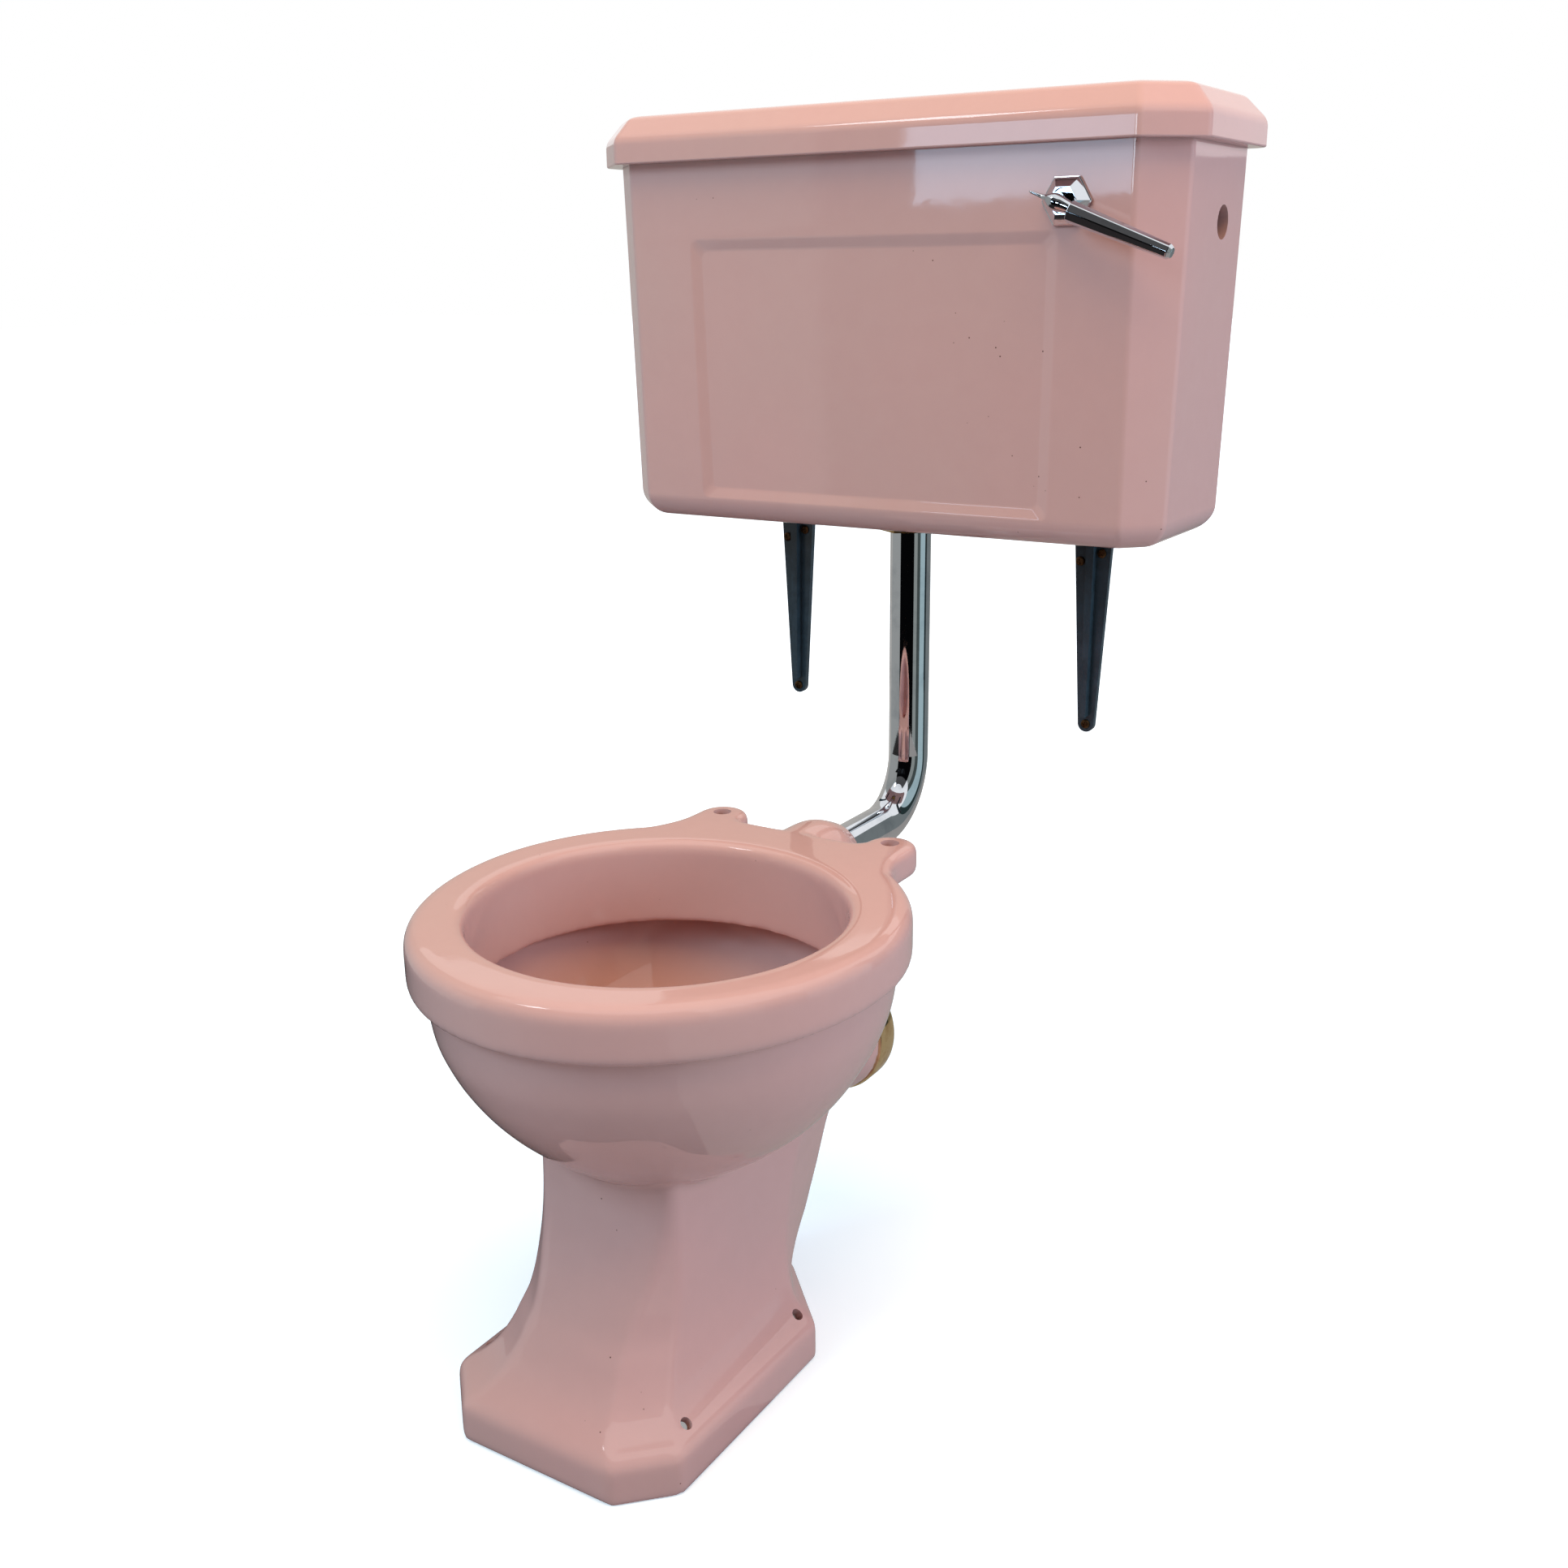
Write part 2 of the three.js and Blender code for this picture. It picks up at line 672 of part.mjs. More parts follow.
function bodyOutside() {
  const rings = [];
  for (let i = 0; i <= edgeSteps; i += 1) {
    const angle = (i / edgeSteps) * (Math.PI / 2);
    rings.push(cisternRing(
      bodyBottomZ + bodyBottomRadius * (1 - Math.cos(angle)),
      bodyBottomRadius * (1 - Math.sin(angle)),
    ));
  }
  rings.push(cisternRing(bodyTopZ, 0));
  return loft(rings);
}

// Cistern: the shallow sunk panel on the front, as a share of the front's width at each height
const panelDrop = 65;
const panelRise = 20;
const panelTopZ = bodyTopZ - panelDrop;
const panelBottomZ = bodyBottomZ + panelRise;
const panelWidthShare = 0.655;
const panelBevel = 12;
const panelDepth = 3;

function panelRing(inset, depth) {
  const corner = (side, z) => new THREE.Vector3(
    side * (bodyHalfWidthAt(z) * panelWidthShare - inset),
    bodyFrontAt(z) + depth,
    z,
  );
  return [
    corner(1, panelBottomZ + inset),
    corner(1, panelTopZ - inset),
    corner(-1, panelTopZ - inset),
    corner(-1, panelBottomZ + inset),
  ];
}

function frontPanel() {
  return loft([panelRing(panelBevel, panelDepth), panelRing(0, 0), panelRing(0, -overrun)]);
}

// Cistern: the well under the floor that hides the nuts, and the boss above it
const tailWall = 5;
const flangeSpread = 10;
const nutSpread = 12;
const spannerRoom = 12;
const pipeSetback = 75;
const pipeY = bodyBackY - pipeSetback;
const tailRadius = pipeRadius + tailWall;
const flangeRadius = tailRadius + flangeSpread;
const nutRadius = tailRadius + nutSpread;
const wellRadius = nutRadius + spannerRoom;
const wellDepth = 25;
const bossRadius = wellRadius + bodyFloor;
const wellCeilingZ = bodyBottomZ + wellDepth;
const bossTopZ = wellCeilingZ + bodyFloor;
const floorTopZ = bodyBottomZ + bodyFloor;
const outletHolePlay = 2;
const outletHoleRadius = tailRadius + outletHolePlay;

// Cistern: holes in the sides for the valve and the overflow, and in the front for the lever
const sideHoleSetback = 55.5;
const sideHoleDrop = 60;
const sideHoleY = bodyBackY - sideHoleSetback;
const sideHoleZ = bodyTopZ - sideHoleDrop;
const sideHoleRadius = 13.5;
const leverInset = 88.5;
const leverDrop = 44.5;
const leverX = bodyHalfWidthTop - leverInset;
const leverZ = bodyTopZ - leverDrop;
const leverHoleRadius = 10;

function buildBody() {
  const inside = loft([
    cisternRing(floorTopZ, bodyWall + bodyBottomRadius / 2, bodyWall),
    cisternRing(floorTopZ + bodyBottomRadius / 2, bodyWall),
    cisternRing(bodyTopZ + overrun, bodyWall, bodyWall, bodyTopZ),
  ]);
  const boss = rodZ(0, pipeY, bodyBottomZ + bodyFloor / 2, bossTopZ, bossRadius, ringSides);
  const shell = union(cut(bodyOutside(), frontPanel(), inside), boss);
  return cut(
    shell,
    rodZ(0, pipeY, bodyBottomZ - overrun, wellCeilingZ, wellRadius, ringSides),
    rodZ(0, pipeY, bodyBottomZ, bossTopZ + overrun, outletHoleRadius),
    rodX(-bodyHalfWidthTop - overrun, bodyHalfWidthTop + overrun, sideHoleY, sideHoleZ, sideHoleRadius),
    rodY(leverX, bodyFrontTopY - overrun, bodyFrontBottomY + bodyWall, leverZ, leverHoleRadius),
  );
}
addPiece('cistern_body', buildBody(), glaze);

// Cistern lid: a band, a bevel and a nearly flat top, hollow below, with a lip that locates it
const lidOverhang = 14;
const lidRearOverhang = 5;
const lidDrop = 1.2;
const lidBandHeight = 21;
const lidBevelInset = 17.5;
const lidSoft = 2;
const lidTopRound = 15;
const lidCrown = 0.6;
const lidThickness = 10;
const lidLipDepth = 10;
const lidLipThickness = 7;
const lidLipPlay = 2;
const lidBottomZ = bodyTopZ - lidDrop;
const lidBandTopZ = lidBottomZ + lidBandHeight;

function lidRing(z, inset) {
  return cisternRing(z, inset - lidOverhang, inset - lidRearOverhang, bodyTopZ);
}

function buildLid() {
  const outside = loft([
    lidRing(lidBottomZ, lidSoft / 2),
    lidRing(lidBottomZ + lidSoft / 2, 0),
    lidRing(lidBandTopZ - lidSoft / 2, 0),
    lidRing(lidBandTopZ + lidSoft / 2, lidSoft),
    lidRing(setHeight - lidCrown - lidSoft, lidBevelInset - lidSoft / 2),
    lidRing(setHeight - lidCrown, lidBevelInset + lidSoft),
    lidRing(setHeight, lidBevelInset + lidTopRound),
  ]);
  const seat = loft([
    cisternRing(lidBottomZ - overrun, -slack, -slack, bodyTopZ),
    cisternRing(bodyTopZ + gap, -slack, -slack, bodyTopZ),
  ]);
  const lip = loft([
    cisternRing(bodyTopZ - lidLipDepth, bodyWall + lidLipPlay, bodyWall + lidLipPlay, bodyTopZ),
    cisternRing(bodyTopZ + overrun, bodyWall + lidLipPlay, bodyWall + lidLipPlay, bodyTopZ),
  ]);
  const lipInset = bodyWall + lidLipPlay + lidLipThickness;
  const hollow = loft([
    cisternRing(bodyTopZ - lidLipDepth - overrun, lipInset, lipInset, bodyTopZ),
    cisternRing(setHeight - lidThickness, lipInset, lipInset, bodyTopZ),
  ]);
  return cut(union(cut(outside, seat), lip), hollow);
}
addPiece('cistern_lid', buildLid(), glaze);

// Lever: escutcheon, bush, washer and nut at the hole in the front
const leverFaceY = bodyFrontAt(leverZ);
const leverInnerY = leverFaceY + bodyWall;
const escutcheonRadius = 21;
const escutcheonShoulder = 20;
const escutcheonRim = 2;
const escutcheonTop = 10;
const escutcheonHeight = 10;
const escutcheonTilt = 0.4;
const bushRadius = 9.5;
const spindleRadius = 5;
const bushReach = 13;
const leverNutThickness = 6;
const leverNutRadius = 16;
const leverWasherThickness = 2;
const leverWasherRadius = 17;
const hexSides = 6;
const escutcheonBackY = leverFaceY - gap - escutcheonTilt;

// A body with six flats turned so that two corners lie level, bored through along Y.
function hexPiece(profile, place, bore, boreFrom, boreTo) {
  const body = turned(profile, place, fromWall, hexSides);
  return cut(body, rodY(place.x, boreFrom, boreTo, place.z, bore));
}

const escutcheonPlace = new THREE.Vector3(leverX, escutcheonBackY, leverZ);
addPiece('lever_escutcheon', hexPiece([
  [0, 0],
  [0, escutcheonRadius],
  [escutcheonRim, escutcheonRadius],
  [escutcheonRim + escutcheonTilt, escutcheonShoulder],
  [escutcheonHeight, escutcheonTop + escutcheonRim],
  [escutcheonHeight, 0],
], escutcheonPlace, bushRadius + gap, escutcheonBackY - escutcheonHeight - overrun, leverFaceY), chrome);

const bushFrontY = escutcheonBackY - escutcheonHeight + escutcheonRim;
const bushBackY = leverInnerY + bushReach;
addPiece('lever_bush', cut(
  rodY(leverX, bushFrontY, bushBackY, leverZ, bushRadius),
  rodY(leverX, bushFrontY - overrun, bushBackY + overrun, leverZ, spindleRadius + gap),
), chrome);

const leverWasherY = leverInnerY + gap + escutcheonTilt;
addPiece('lever_washer', cut(
  rodY(leverX, leverWasherY, leverWasherY + leverWasherThickness, leverZ, leverWasherRadius),
  rodY(
    leverX,
    leverWasherY - overrun,
    leverWasherY + leverWasherThickness + overrun,
    leverZ,
    bushRadius + gap,
  ),
), rubber);

const leverNutY = leverWasherY + leverWasherThickness + gap;
addPiece('lever_nut', cut(
  rodY(leverX, leverNutY, leverNutY + leverNutThickness, leverZ, leverNutRadius, hexSides),
  rodY(leverX, leverNutY - overrun, leverNutY + leverNutThickness + overrun, leverZ, bushRadius + gap),
), brass);

// Lever: the handle, with a leaf-shaped finial behind the pivot and an eight-sided grip before it
const gripDrop = THREE.MathUtils.degToRad(21);
const leverStandoff = 21.4;
const leverPlaneY = escutcheonBackY - leverStandoff;
const hubDrop = 1.5;
const gripStart = 13;
const gripOffset = 2.3;
const gripLength = 86;
const gripRadius = 8.5;
const gripEndRadius = 6;
const gripTip = 3;
const gripTipRadius = 4;
const hubBallRadius = 6.6;
const gripSides = 8;
const neckRadius = 6.4;
const neckEndY = escutcheonBackY - escutcheonHeight - gap;
const socketDepth = 8;
const spindleSocketY = neckEndY - socketDepth;
const gripAxis = new THREE.Vector3(Math.cos(gripDrop), 0, -Math.sin(gripDrop));
const gripAcross = new THREE.Vector3(-Math.sin(gripDrop), 0, -Math.cos(gripDrop));
const leverHub = new THREE.Vector3(leverX, leverPlaneY, leverZ - hubDrop);
const finialLength = 24.5;
// Distance along the finial from its tip, and radius, as shares of its length and of the ball's
// radius. The ball around the pivot ends just inside the grip.
const finialShares = [
  [0, 0],
  [0.05, 0.15],
  [0.27, 0.2],
  [0.45, 0.26],
  [0.58, 0.4],
  [0.7, 0.68],
  [0.82, 0.9],
  [0.94, 1],
  [1.08, 0.98],
  [1.26, 0.86],
  [1.45, 0.74],
  [1.6, 0.7],
];

function buildLever() {
  const start = leverHub.clone().addScaledVector(gripAxis, -finialLength);
  const finialProfile = finialShares.map(([along, radius]) => [along * finialLength, radius * hubBallRadius]);
  finialProfile.push([finialProfile[finialProfile.length - 1][0], 0]);
  const finial = turned(finialProfile, start, gripAxis, legSides);
  const gripFrom = leverHub.clone()
    .addScaledVector(gripAxis, gripStart)
    .addScaledVector(gripAcross, gripOffset);
  const grip = turned([
    [0, 0],
    [0, gripRadius],
    [gripLength, gripEndRadius],
    [gripLength + gripTip, gripTipRadius],
    [gripLength + gripTip, 0],
  ], gripFrom, gripAxis, gripSides);
  const neck = rodY(leverX, leverPlaneY, neckEndY, leverZ, neckRadius);
  const socket = rodY(leverX, spindleSocketY, neckEndY + overrun, leverZ, spindleRadius + gap);
  return cut(union(finial, grip, neck), socket);
}
addPiece('flush_lever', buildLever(), chrome);

// Lever: spindle and crank arm inside the cistern
const liftX = 72.8;
const crankForward = 11;
const crankY = pipeY - crankForward;
const crankThickness = 4;
const crankHubRadius = 10;
const crankHubThickness = 9;
const crankOverreach = 1.07;
const crankWidth = 9;
const crankDrop = THREE.MathUtils.degToRad(10);
const crankLength = (leverX - liftX + crankOverreach) / Math.cos(crankDrop);
const crankEyeRadius = 6;
const linkPinRadius = 2.5;
const liftRodRadius = 3;
const linkPinEndY = pipeY + liftRodRadius;
const spindleStub = 2;
const spindleEndY = crankY + crankHubThickness + spindleStub;
addPiece('lever_spindle', rodY(leverX, spindleSocketY + gap, spindleEndY, leverZ, spindleRadius), brass);

const crankEnd = new THREE.Vector3(
  leverX - crankLength * Math.cos(crankDrop),
  crankY,
  leverZ - crankLength * Math.sin(crankDrop),
);
const crankScrewRadius = 2;
const crankScrewHead = 3.4;
const crankScrewHeadHeight = 2.5;

function buildCrank() {
  const hub = rodY(leverX, crankY, crankY + crankHubThickness, leverZ, crankHubRadius);
  const bar = new THREE.BoxGeometry(crankLength, crankThickness, crankWidth);
  bar.translate(-crankLength / 2, crankThickness / 2, 0);
  bar.rotateY(-crankDrop);
  bar.translate(leverX, crankY, leverZ);
  const eye = rodY(crankEnd.x, crankY, crankY + crankThickness, crankEnd.z, crankEyeRadius);
  const pinFromY = crankY + crankThickness / 2;
  const pin = rodY(crankEnd.x, pinFromY, linkPinEndY, crankEnd.z, linkPinRadius, screwSides);
  const middleY = crankY + crankHubThickness / 2;
  return cut(
    union(hub, toSolid(bar), eye, pin),
    rodY(leverX, crankY - overrun, crankY + crankHubThickness + overrun, leverZ, spindleRadius + gap),
    rodZ(leverX, middleY, leverZ, leverZ + crankHubRadius + overrun, crankScrewRadius + gap, screwSides),
  );
}
addPiece('crank_arm', buildCrank(), brass);

const crankScrewBaseZ = leverZ + spindleRadius + gap;
const crankScrewSeatZ = leverZ + crankHubRadius + gap;
addPiece('crank_screw', union(
  rodZ(
    leverX,
    crankY + crankHubThickness / 2,
    crankScrewBaseZ,
    crankScrewSeatZ + gap,
    crankScrewRadius,
    screwSides,
  ),
  rodZ(
    leverX,
    crankY + crankHubThickness / 2,
    crankScrewSeatZ,
    crankScrewSeatZ + crankScrewHeadHeight,
    crankScrewHead,
    screwSides,
  ),
), steel);

// Siphon: a bell beside the down leg, and a neck that joins them over the top by a bend
const linkFall = 17;
const liftPinZ = crankEnd.z - linkFall;
const bellRadius = 44;
const bellWall = 4;
const bellSides = 28;
const bellLift = 9;
const bellBottomZ = bossTopZ + bellLift;
const guideRadius = 7;
const guideDrop = 10.7;
const guideTopZ = liftPinZ - guideDrop;
const guidePlay = 0.6;
const guideBore = liftRodRadius + guidePlay;
const guideLength = 46;
const bendCentreZ = guideTopZ - guideLength;
const bellDrop = 50;
const bellTopZ = bendCentreZ - bellDrop;
const bendRadius = liftX / 2;
const bendSteps = 7;
const legNarrowing = 3;
const legWall = 4;
const legBore = pipeRadius - legNarrowing;
const legRadius = legBore + legWall;
const footRingSpread = 7;
const footRingThickness = 5;
const washerThickness = 3;
const flangeThickness = 5;
const flangeBottomZ = bossTopZ + washerThickness + 2 * gap;
const tailDrop = 3;
const tailBottomZ = bodyBottomZ - tailDrop;
const tailPlay = 0.7;
const tailBore = pipeRadius + tailPlay;
const pipeEntry = 11;
const pipeTopZ = wellCeilingZ - pipeEntry;

// Rings of the siphon's inverted U, from the bell's leg over the bend to the down leg.
function legRings(radius, startZ, endZ) {
  const rings = [];
  const ring = (centre, outward) => {
    const points = [];
    for (let j = 0; j < legSides; j += 1) {
      const angle = (j / legSides) * Math.PI * 2;
      points.push(centre.clone()
        .addScaledVector(outward, radius * Math.cos(angle))
        .addScaledVector(toWall, radius * Math.sin(angle)));
    }
    return points;
  };
  rings.push(ring(new THREE.Vector3(liftX, pipeY, startZ), new THREE.Vector3(1, 0, 0)));
  for (let i = 0; i <= bendSteps; i += 1) {
    const angle = (i / bendSteps) * Math.PI;
    const outward = new THREE.Vector3(Math.cos(angle), 0, Math.sin(angle));
    const centre = new THREE.Vector3(bendRadius, pipeY, bendCentreZ).addScaledVector(outward, bendRadius);
    rings.push(ring(centre, outward));
  }
  rings.push(ring(new THREE.Vector3(0, pipeY, endZ), new THREE.Vector3(-1, 0, 0)));
  return rings;
}

function buildBell() {
  return cut(
    rodZ(liftX, pipeY, bellBottomZ, bellTopZ, bellRadius, bellSides),
    rodZ(liftX, pipeY, bellBottomZ - overrun, bellTopZ - bellWall, bellRadius - bellWall, bellSides),
    rodZ(liftX, pipeY, bellTopZ - bellWall - overrun, bellTopZ + overrun, legBore, legSides),
  );
}
addPiece('siphon_bell', buildBell(), plastic);

// The neck stands on the bell with a ring around its foot. A guide for the lift rod rises from
// its bend, and its tail goes down through the cistern's floor.
function buildNeck() {
  const footZ = bellTopZ + gap;
  const leg = loft(legRings(legRadius, footZ, flangeBottomZ));
  const ring = rodZ(liftX, pipeY, footZ, footZ + footRingThickness, legRadius + footRingSpread);
  const guide = rodZ(liftX, pipeY, bendCentreZ, guideTopZ, guideRadius);
  const flange = rodZ(0, pipeY, flangeBottomZ, flangeBottomZ + flangeThickness, flangeRadius);
  const tail = rodZ(0, pipeY, tailBottomZ, flangeBottomZ + flangeThickness / 2, tailRadius);
  return cut(
    union(leg, ring, guide, flange, tail),
    loft(legRings(legBore, footZ - overrun, tailBottomZ - overrun)),
    rodZ(0, pipeY, tailBottomZ - overrun, pipeTopZ + overrun, tailBore),
    rodZ(liftX, pipeY, bendCentreZ, guideTopZ + overrun, guideBore, screwSides),
  );
}
addPiece('siphon_neck', buildNeck(), plastic);

// A flat ring around a line along Z.
function ringZ(z0, z1, outer, inner, x = 0, sides = tubeSides) {
  return cut(rodZ(x, pipeY, z0, z1, outer, sides), rodZ(x, pipeY, z0 - overrun, z1 + overrun, inner));
}

const washerZ = bossTopZ + gap;
addPiece('siphon_washer', ringZ(
  washerZ,
  washerZ + washerThickness,
  flangeRadius,
  tailRadius + slack,
), rubber);
const backnutThickness = 11;
const backnutTopZ = wellCeilingZ - gap;
addPiece('siphon_backnut', ringZ(
  backnutTopZ - backnutThickness,
  backnutTopZ,
  nutRadius,
  tailRadius + slack,
  0,
  hexSides,
), brass);

// The nut that clamps the flush pipe to the siphon's tail
const pipeNutTopZ = backnutTopZ - backnutThickness - gap;
const pipeNutDrop = 8;
const pipeNutSpread = 9;
const pipeNutBottomZ = bodyBottomZ - pipeNutDrop;
const pipeNutRadius = tailRadius + pipeNutSpread;
addPiece('flush_pipe_nut', cut(
  rodZ(0, pipeY, pipeNutBottomZ, pipeNutTopZ, pipeNutRadius, hexSides),
  rodZ(0, pipeY, pipeNutBottomZ - overrun, pipeNutTopZ + overrun, pipeRadius + slack),
  rodZ(0, pipeY, tailBottomZ - gap, pipeNutTopZ + overrun, tailRadius + slack),
), brass);

// Siphon plate, diaphragm and lift rod
const platePlay = 1.4;
const plateRise = 7;
const plateRadius = bellRadius - bellWall - platePlay;
const plateThickness = 3;
const plateZ = bellBottomZ + plateRise;
const plateHoleRadius = 5;
const plateHoleCircle = 22;
const plateHoleCount = 6;
const diaphragmThickness = 1.5;
const rodFootThickness = 2.7;
const rodFootRadius = 6;
const rodFootTopZ = plateZ - gap;
const rodFootZ = rodFootTopZ - rodFootThickness;

function buildPlate() {
  const holes = [];
  for (let i = 0; i < plateHoleCount; i += 1) {
    const angle = (i / plateHoleCount) * Math.PI * 2;
    const x = liftX + plateHoleCircle * Math.cos(angle);
    const y = pipeY + plateHoleCircle * Math.sin(angle);
    holes.push(rodZ(x, y, plateZ - overrun, plateZ + plateThickness + overrun, plateHoleRadius, screwSides));
  }
  const disc = rodZ(liftX, pipeY, plateZ, plateZ + plateThickness, plateRadius);
  return cut(
    disc,
    rodZ(liftX, pipeY, plateZ - overrun, plateZ + plateThickness + overrun, liftRodRadius + gap, screwSides),
    ...holes,
  );
}
addPiece('siphon_plate', buildPlate(), plastic);

const diaphragmZ = plateZ + plateThickness + gap;
addPiece('siphon_diaphragm', ringZ(
  diaphragmZ,
  diaphragmZ + diaphragmThickness,
  plateRadius + slack,
  liftRodRadius + gap,
  liftX,
), rubber);

// Lift rod: hangs from the link by a pin at its top
const linkFrontY = crankY + crankThickness + slack;
const pinStub = 1;
const liftRodStub = 4;
const liftRodTopZ = liftPinZ + liftRodStub;
const liftPinEndY = linkFrontY - pinStub;
addPiece('lift_rod', union(
  rodZ(liftX, pipeY, rodFootZ, liftRodTopZ, liftRodRadius, screwSides),
  rodZ(liftX, pipeY, rodFootZ, rodFootTopZ, rodFootRadius, screwSides),
  rodY(liftX, liftPinEndY, pipeY, liftPinZ, linkPinRadius, screwSides),
), brass);

// Lift link: a long flat ring over both pins
const linkThickness = 3;
const linkSlotHalf = 6.2;
const linkBar = 3.4;
const linkX = crankEnd.x;
const linkCornerRadius = 2;

// A rectangle in X and Z with rounded corners, as outline points.
function linkOutline(halfWidth, lowZ, highZ) {
  const radius = linkCornerRadius;
  return roundedOutline([
    { x: linkX + halfWidth, y: lowZ, radius },
    { x: linkX + halfWidth, y: highZ, radius },
    { x: linkX - halfWidth, y: highZ, radius },
    { x: linkX - halfWidth, y: lowZ, radius },
  ], cornerSteps);
}

function buildLink() {
  const lowZ = liftPinZ - linkPinRadius - gap;
  const highZ = crankEnd.z + linkPinRadius + gap;
  const shape = new THREE.Shape(linkOutline(linkSlotHalf + linkBar, lowZ - linkBar, highZ + linkBar));
  shape.holes.push(new THREE.Path(linkOutline(linkSlotHalf, lowZ, highZ)));
  const geometry = new THREE.ExtrudeGeometry(shape, { depth: linkThickness, bevelEnabled: false });
  geometry.rotateX(Math.PI / 2);
  geometry.translate(0, linkFrontY + linkThickness, 0);
  return toSolid(geometry);
}
addPiece('lift_link', buildLink(), brass);

// Float valve in the left side: shank through the wall, body and fork inside
const valveX = -bodyHalfWidthAt(sideHoleZ);
const valveInnerX = valveX + bodyWall;
const shankRadius = 10.5;
const shankBore = 6.5;
const shankEndX = valveX - 37;
const valveFlangeRadius = 18;
const valveFlangeThickness = 4.5;
const valveWasherThickness = 2.5;
const wallTilt = 0.6;
const valveBodyRadius = 13;
const valveBodyLength = 26;
const pistonRadius = 5.8;
const pistonBore = pistonRadius + slack;
const pistonBoreDepth = 24.2;
const nozzleRadius = 2.4;
const cheekHalf = 7;
const cheekThickness = 3.5;
const cheekReach = 21;
const cheekOverlap = 4;
const cheekTop = 5;
const cheekBottom = 20;
const armPinDrop = 12;
const armPinSetback = 14;
const armPinRadius = 2.5;
const valveWasherX = valveInnerX + gap + wallTilt;
const valveFlangeX = valveWasherX + valveWasherThickness + gap;
const valveBodyX = valveFlangeX + valveFlangeThickness;
const valveEndX = valveBodyX + valveBodyLength;
const armPinX = valveEndX + armPinSetback;
const armPinZ = sideHoleZ - armPinDrop;

function buildValve() {
  const cheek = (side) => block(
    valveEndX - cheekOverlap,
    valveEndX + cheekReach,
    Math.min(side * cheekHalf, side * (cheekHalf + cheekThickness)) + sideHoleY,
    Math.max(side * cheekHalf, side * (cheekHalf + cheekThickness)) + sideHoleY,
    sideHoleZ - cheekBottom,
    sideHoleZ + cheekTop,
  );
  return cut(
    union(
      rodX(shankEndX, valveFlangeX + gap, sideHoleY, sideHoleZ, shankRadius),
      rodX(valveFlangeX, valveBodyX + gap, sideHoleY, sideHoleZ, valveFlangeRadius),
      rodX(valveBodyX, valveEndX, sideHoleY, sideHoleZ, valveBodyRadius),
      cheek(-1),
      cheek(1),
    ),
    rodX(shankEndX - overrun, valveBodyX - gap, sideHoleY, sideHoleZ, shankBore),
    rodX(valveBodyX - overrun, valveEndX, sideHoleY, sideHoleZ, nozzleRadius, screwSides),
    rodX(valveEndX - pistonBoreDepth, valveEndX + overrun, sideHoleY, sideHoleZ, pistonBore),
    rodY(
      armPinX,
      sideHoleY - valveBodyRadius,
      sideHoleY + valveBodyRadius,
      armPinZ,
      armPinRadius + gap,
      screwSides,
    ),
  );
}
addPiece('float_valve', buildValve(), brass);

// A flat ring or nut around the valve's shank.
function ringX(x0, x1, outer, inner, sides = tubeSides) {
  return cut(
    rodX(x0, x1, sideHoleY, sideHoleZ, outer, sides),
    rodX(x0 - overrun, x1 + overrun, sideHoleY, sideHoleZ, inner),
  );
}

addPiece('valve_washer_inner', ringX(
  valveWasherX,
  valveWasherX + valveWasherThickness,
  valveFlangeRadius,
  shankRadius + slack,
), rubber);
const outerWasherX = valveX - gap - wallTilt;
const outerWasherThickness = 2;
addPiece('valve_washer_outer', ringX(
  outerWasherX - outerWasherThickness,
  outerWasherX,
  valveFlangeRadius,
  shankRadius + slack,
), rubber);
const inletNutX = outerWasherX - outerWasherThickness - gap;
const inletNutThickness = 6;
addPiece('inlet_backnut', ringX(
  inletNutX - inletNutThickness,
  inletNutX,
  valveFlangeRadius,
  shankRadius + slack,
  hexSides,
), brass);

// Valve piston: closes the nozzle when the float arm's nib pushes it
const nibHalf = 3;
const nibOffset = 3.4;
const pistonLength = 26;
const pistonEndX = armPinX - nibOffset - slack;
addPiece('valve_piston', rodX(
  pistonEndX - pistonLength,
  pistonEndX,
  sideHoleY,
  sideHoleZ,
  pistonRadius,
), plastic);

// Float arm and ball, drawn at the bottom of their swing in an empty cistern
const armFall = THREE.MathUtils.degToRad(53);
const armSetback = 137.5;
const armLength = bodyHalfWidthTop - armSetback;
const armRadius = 3.2;
const armHubRadius = 6;
const armHubHalf = 6;
const nibHeight = 16;
const ballRadius = 50;
const ballSides = 20;
const ballRows = 12;
const ballY = (bodyFrontBottomY + bodyBackY) / 2;
const ballBossRadius = 8;
const ballBossHeight = 8;
const armEntry = 10;
const armDirection = new THREE.Vector3(Math.cos(armFall), 0, -Math.sin(armFall));
const armPinPlace = new THREE.Vector3(armPinX, sideHoleY, armPinZ);
const ballCentre = armPinPlace.clone().addScaledVector(armDirection, armLength).setY(ballY);
const elbowShare = 0.3;
const elbow = armPinPlace.clone().addScaledVector(armDirection, armLength * elbowShare);
const lastRun = ballCentre.clone().sub(elbow).normalize();
const ballSkin = ballCentre.clone().addScaledVector(lastRun, -ballRadius);

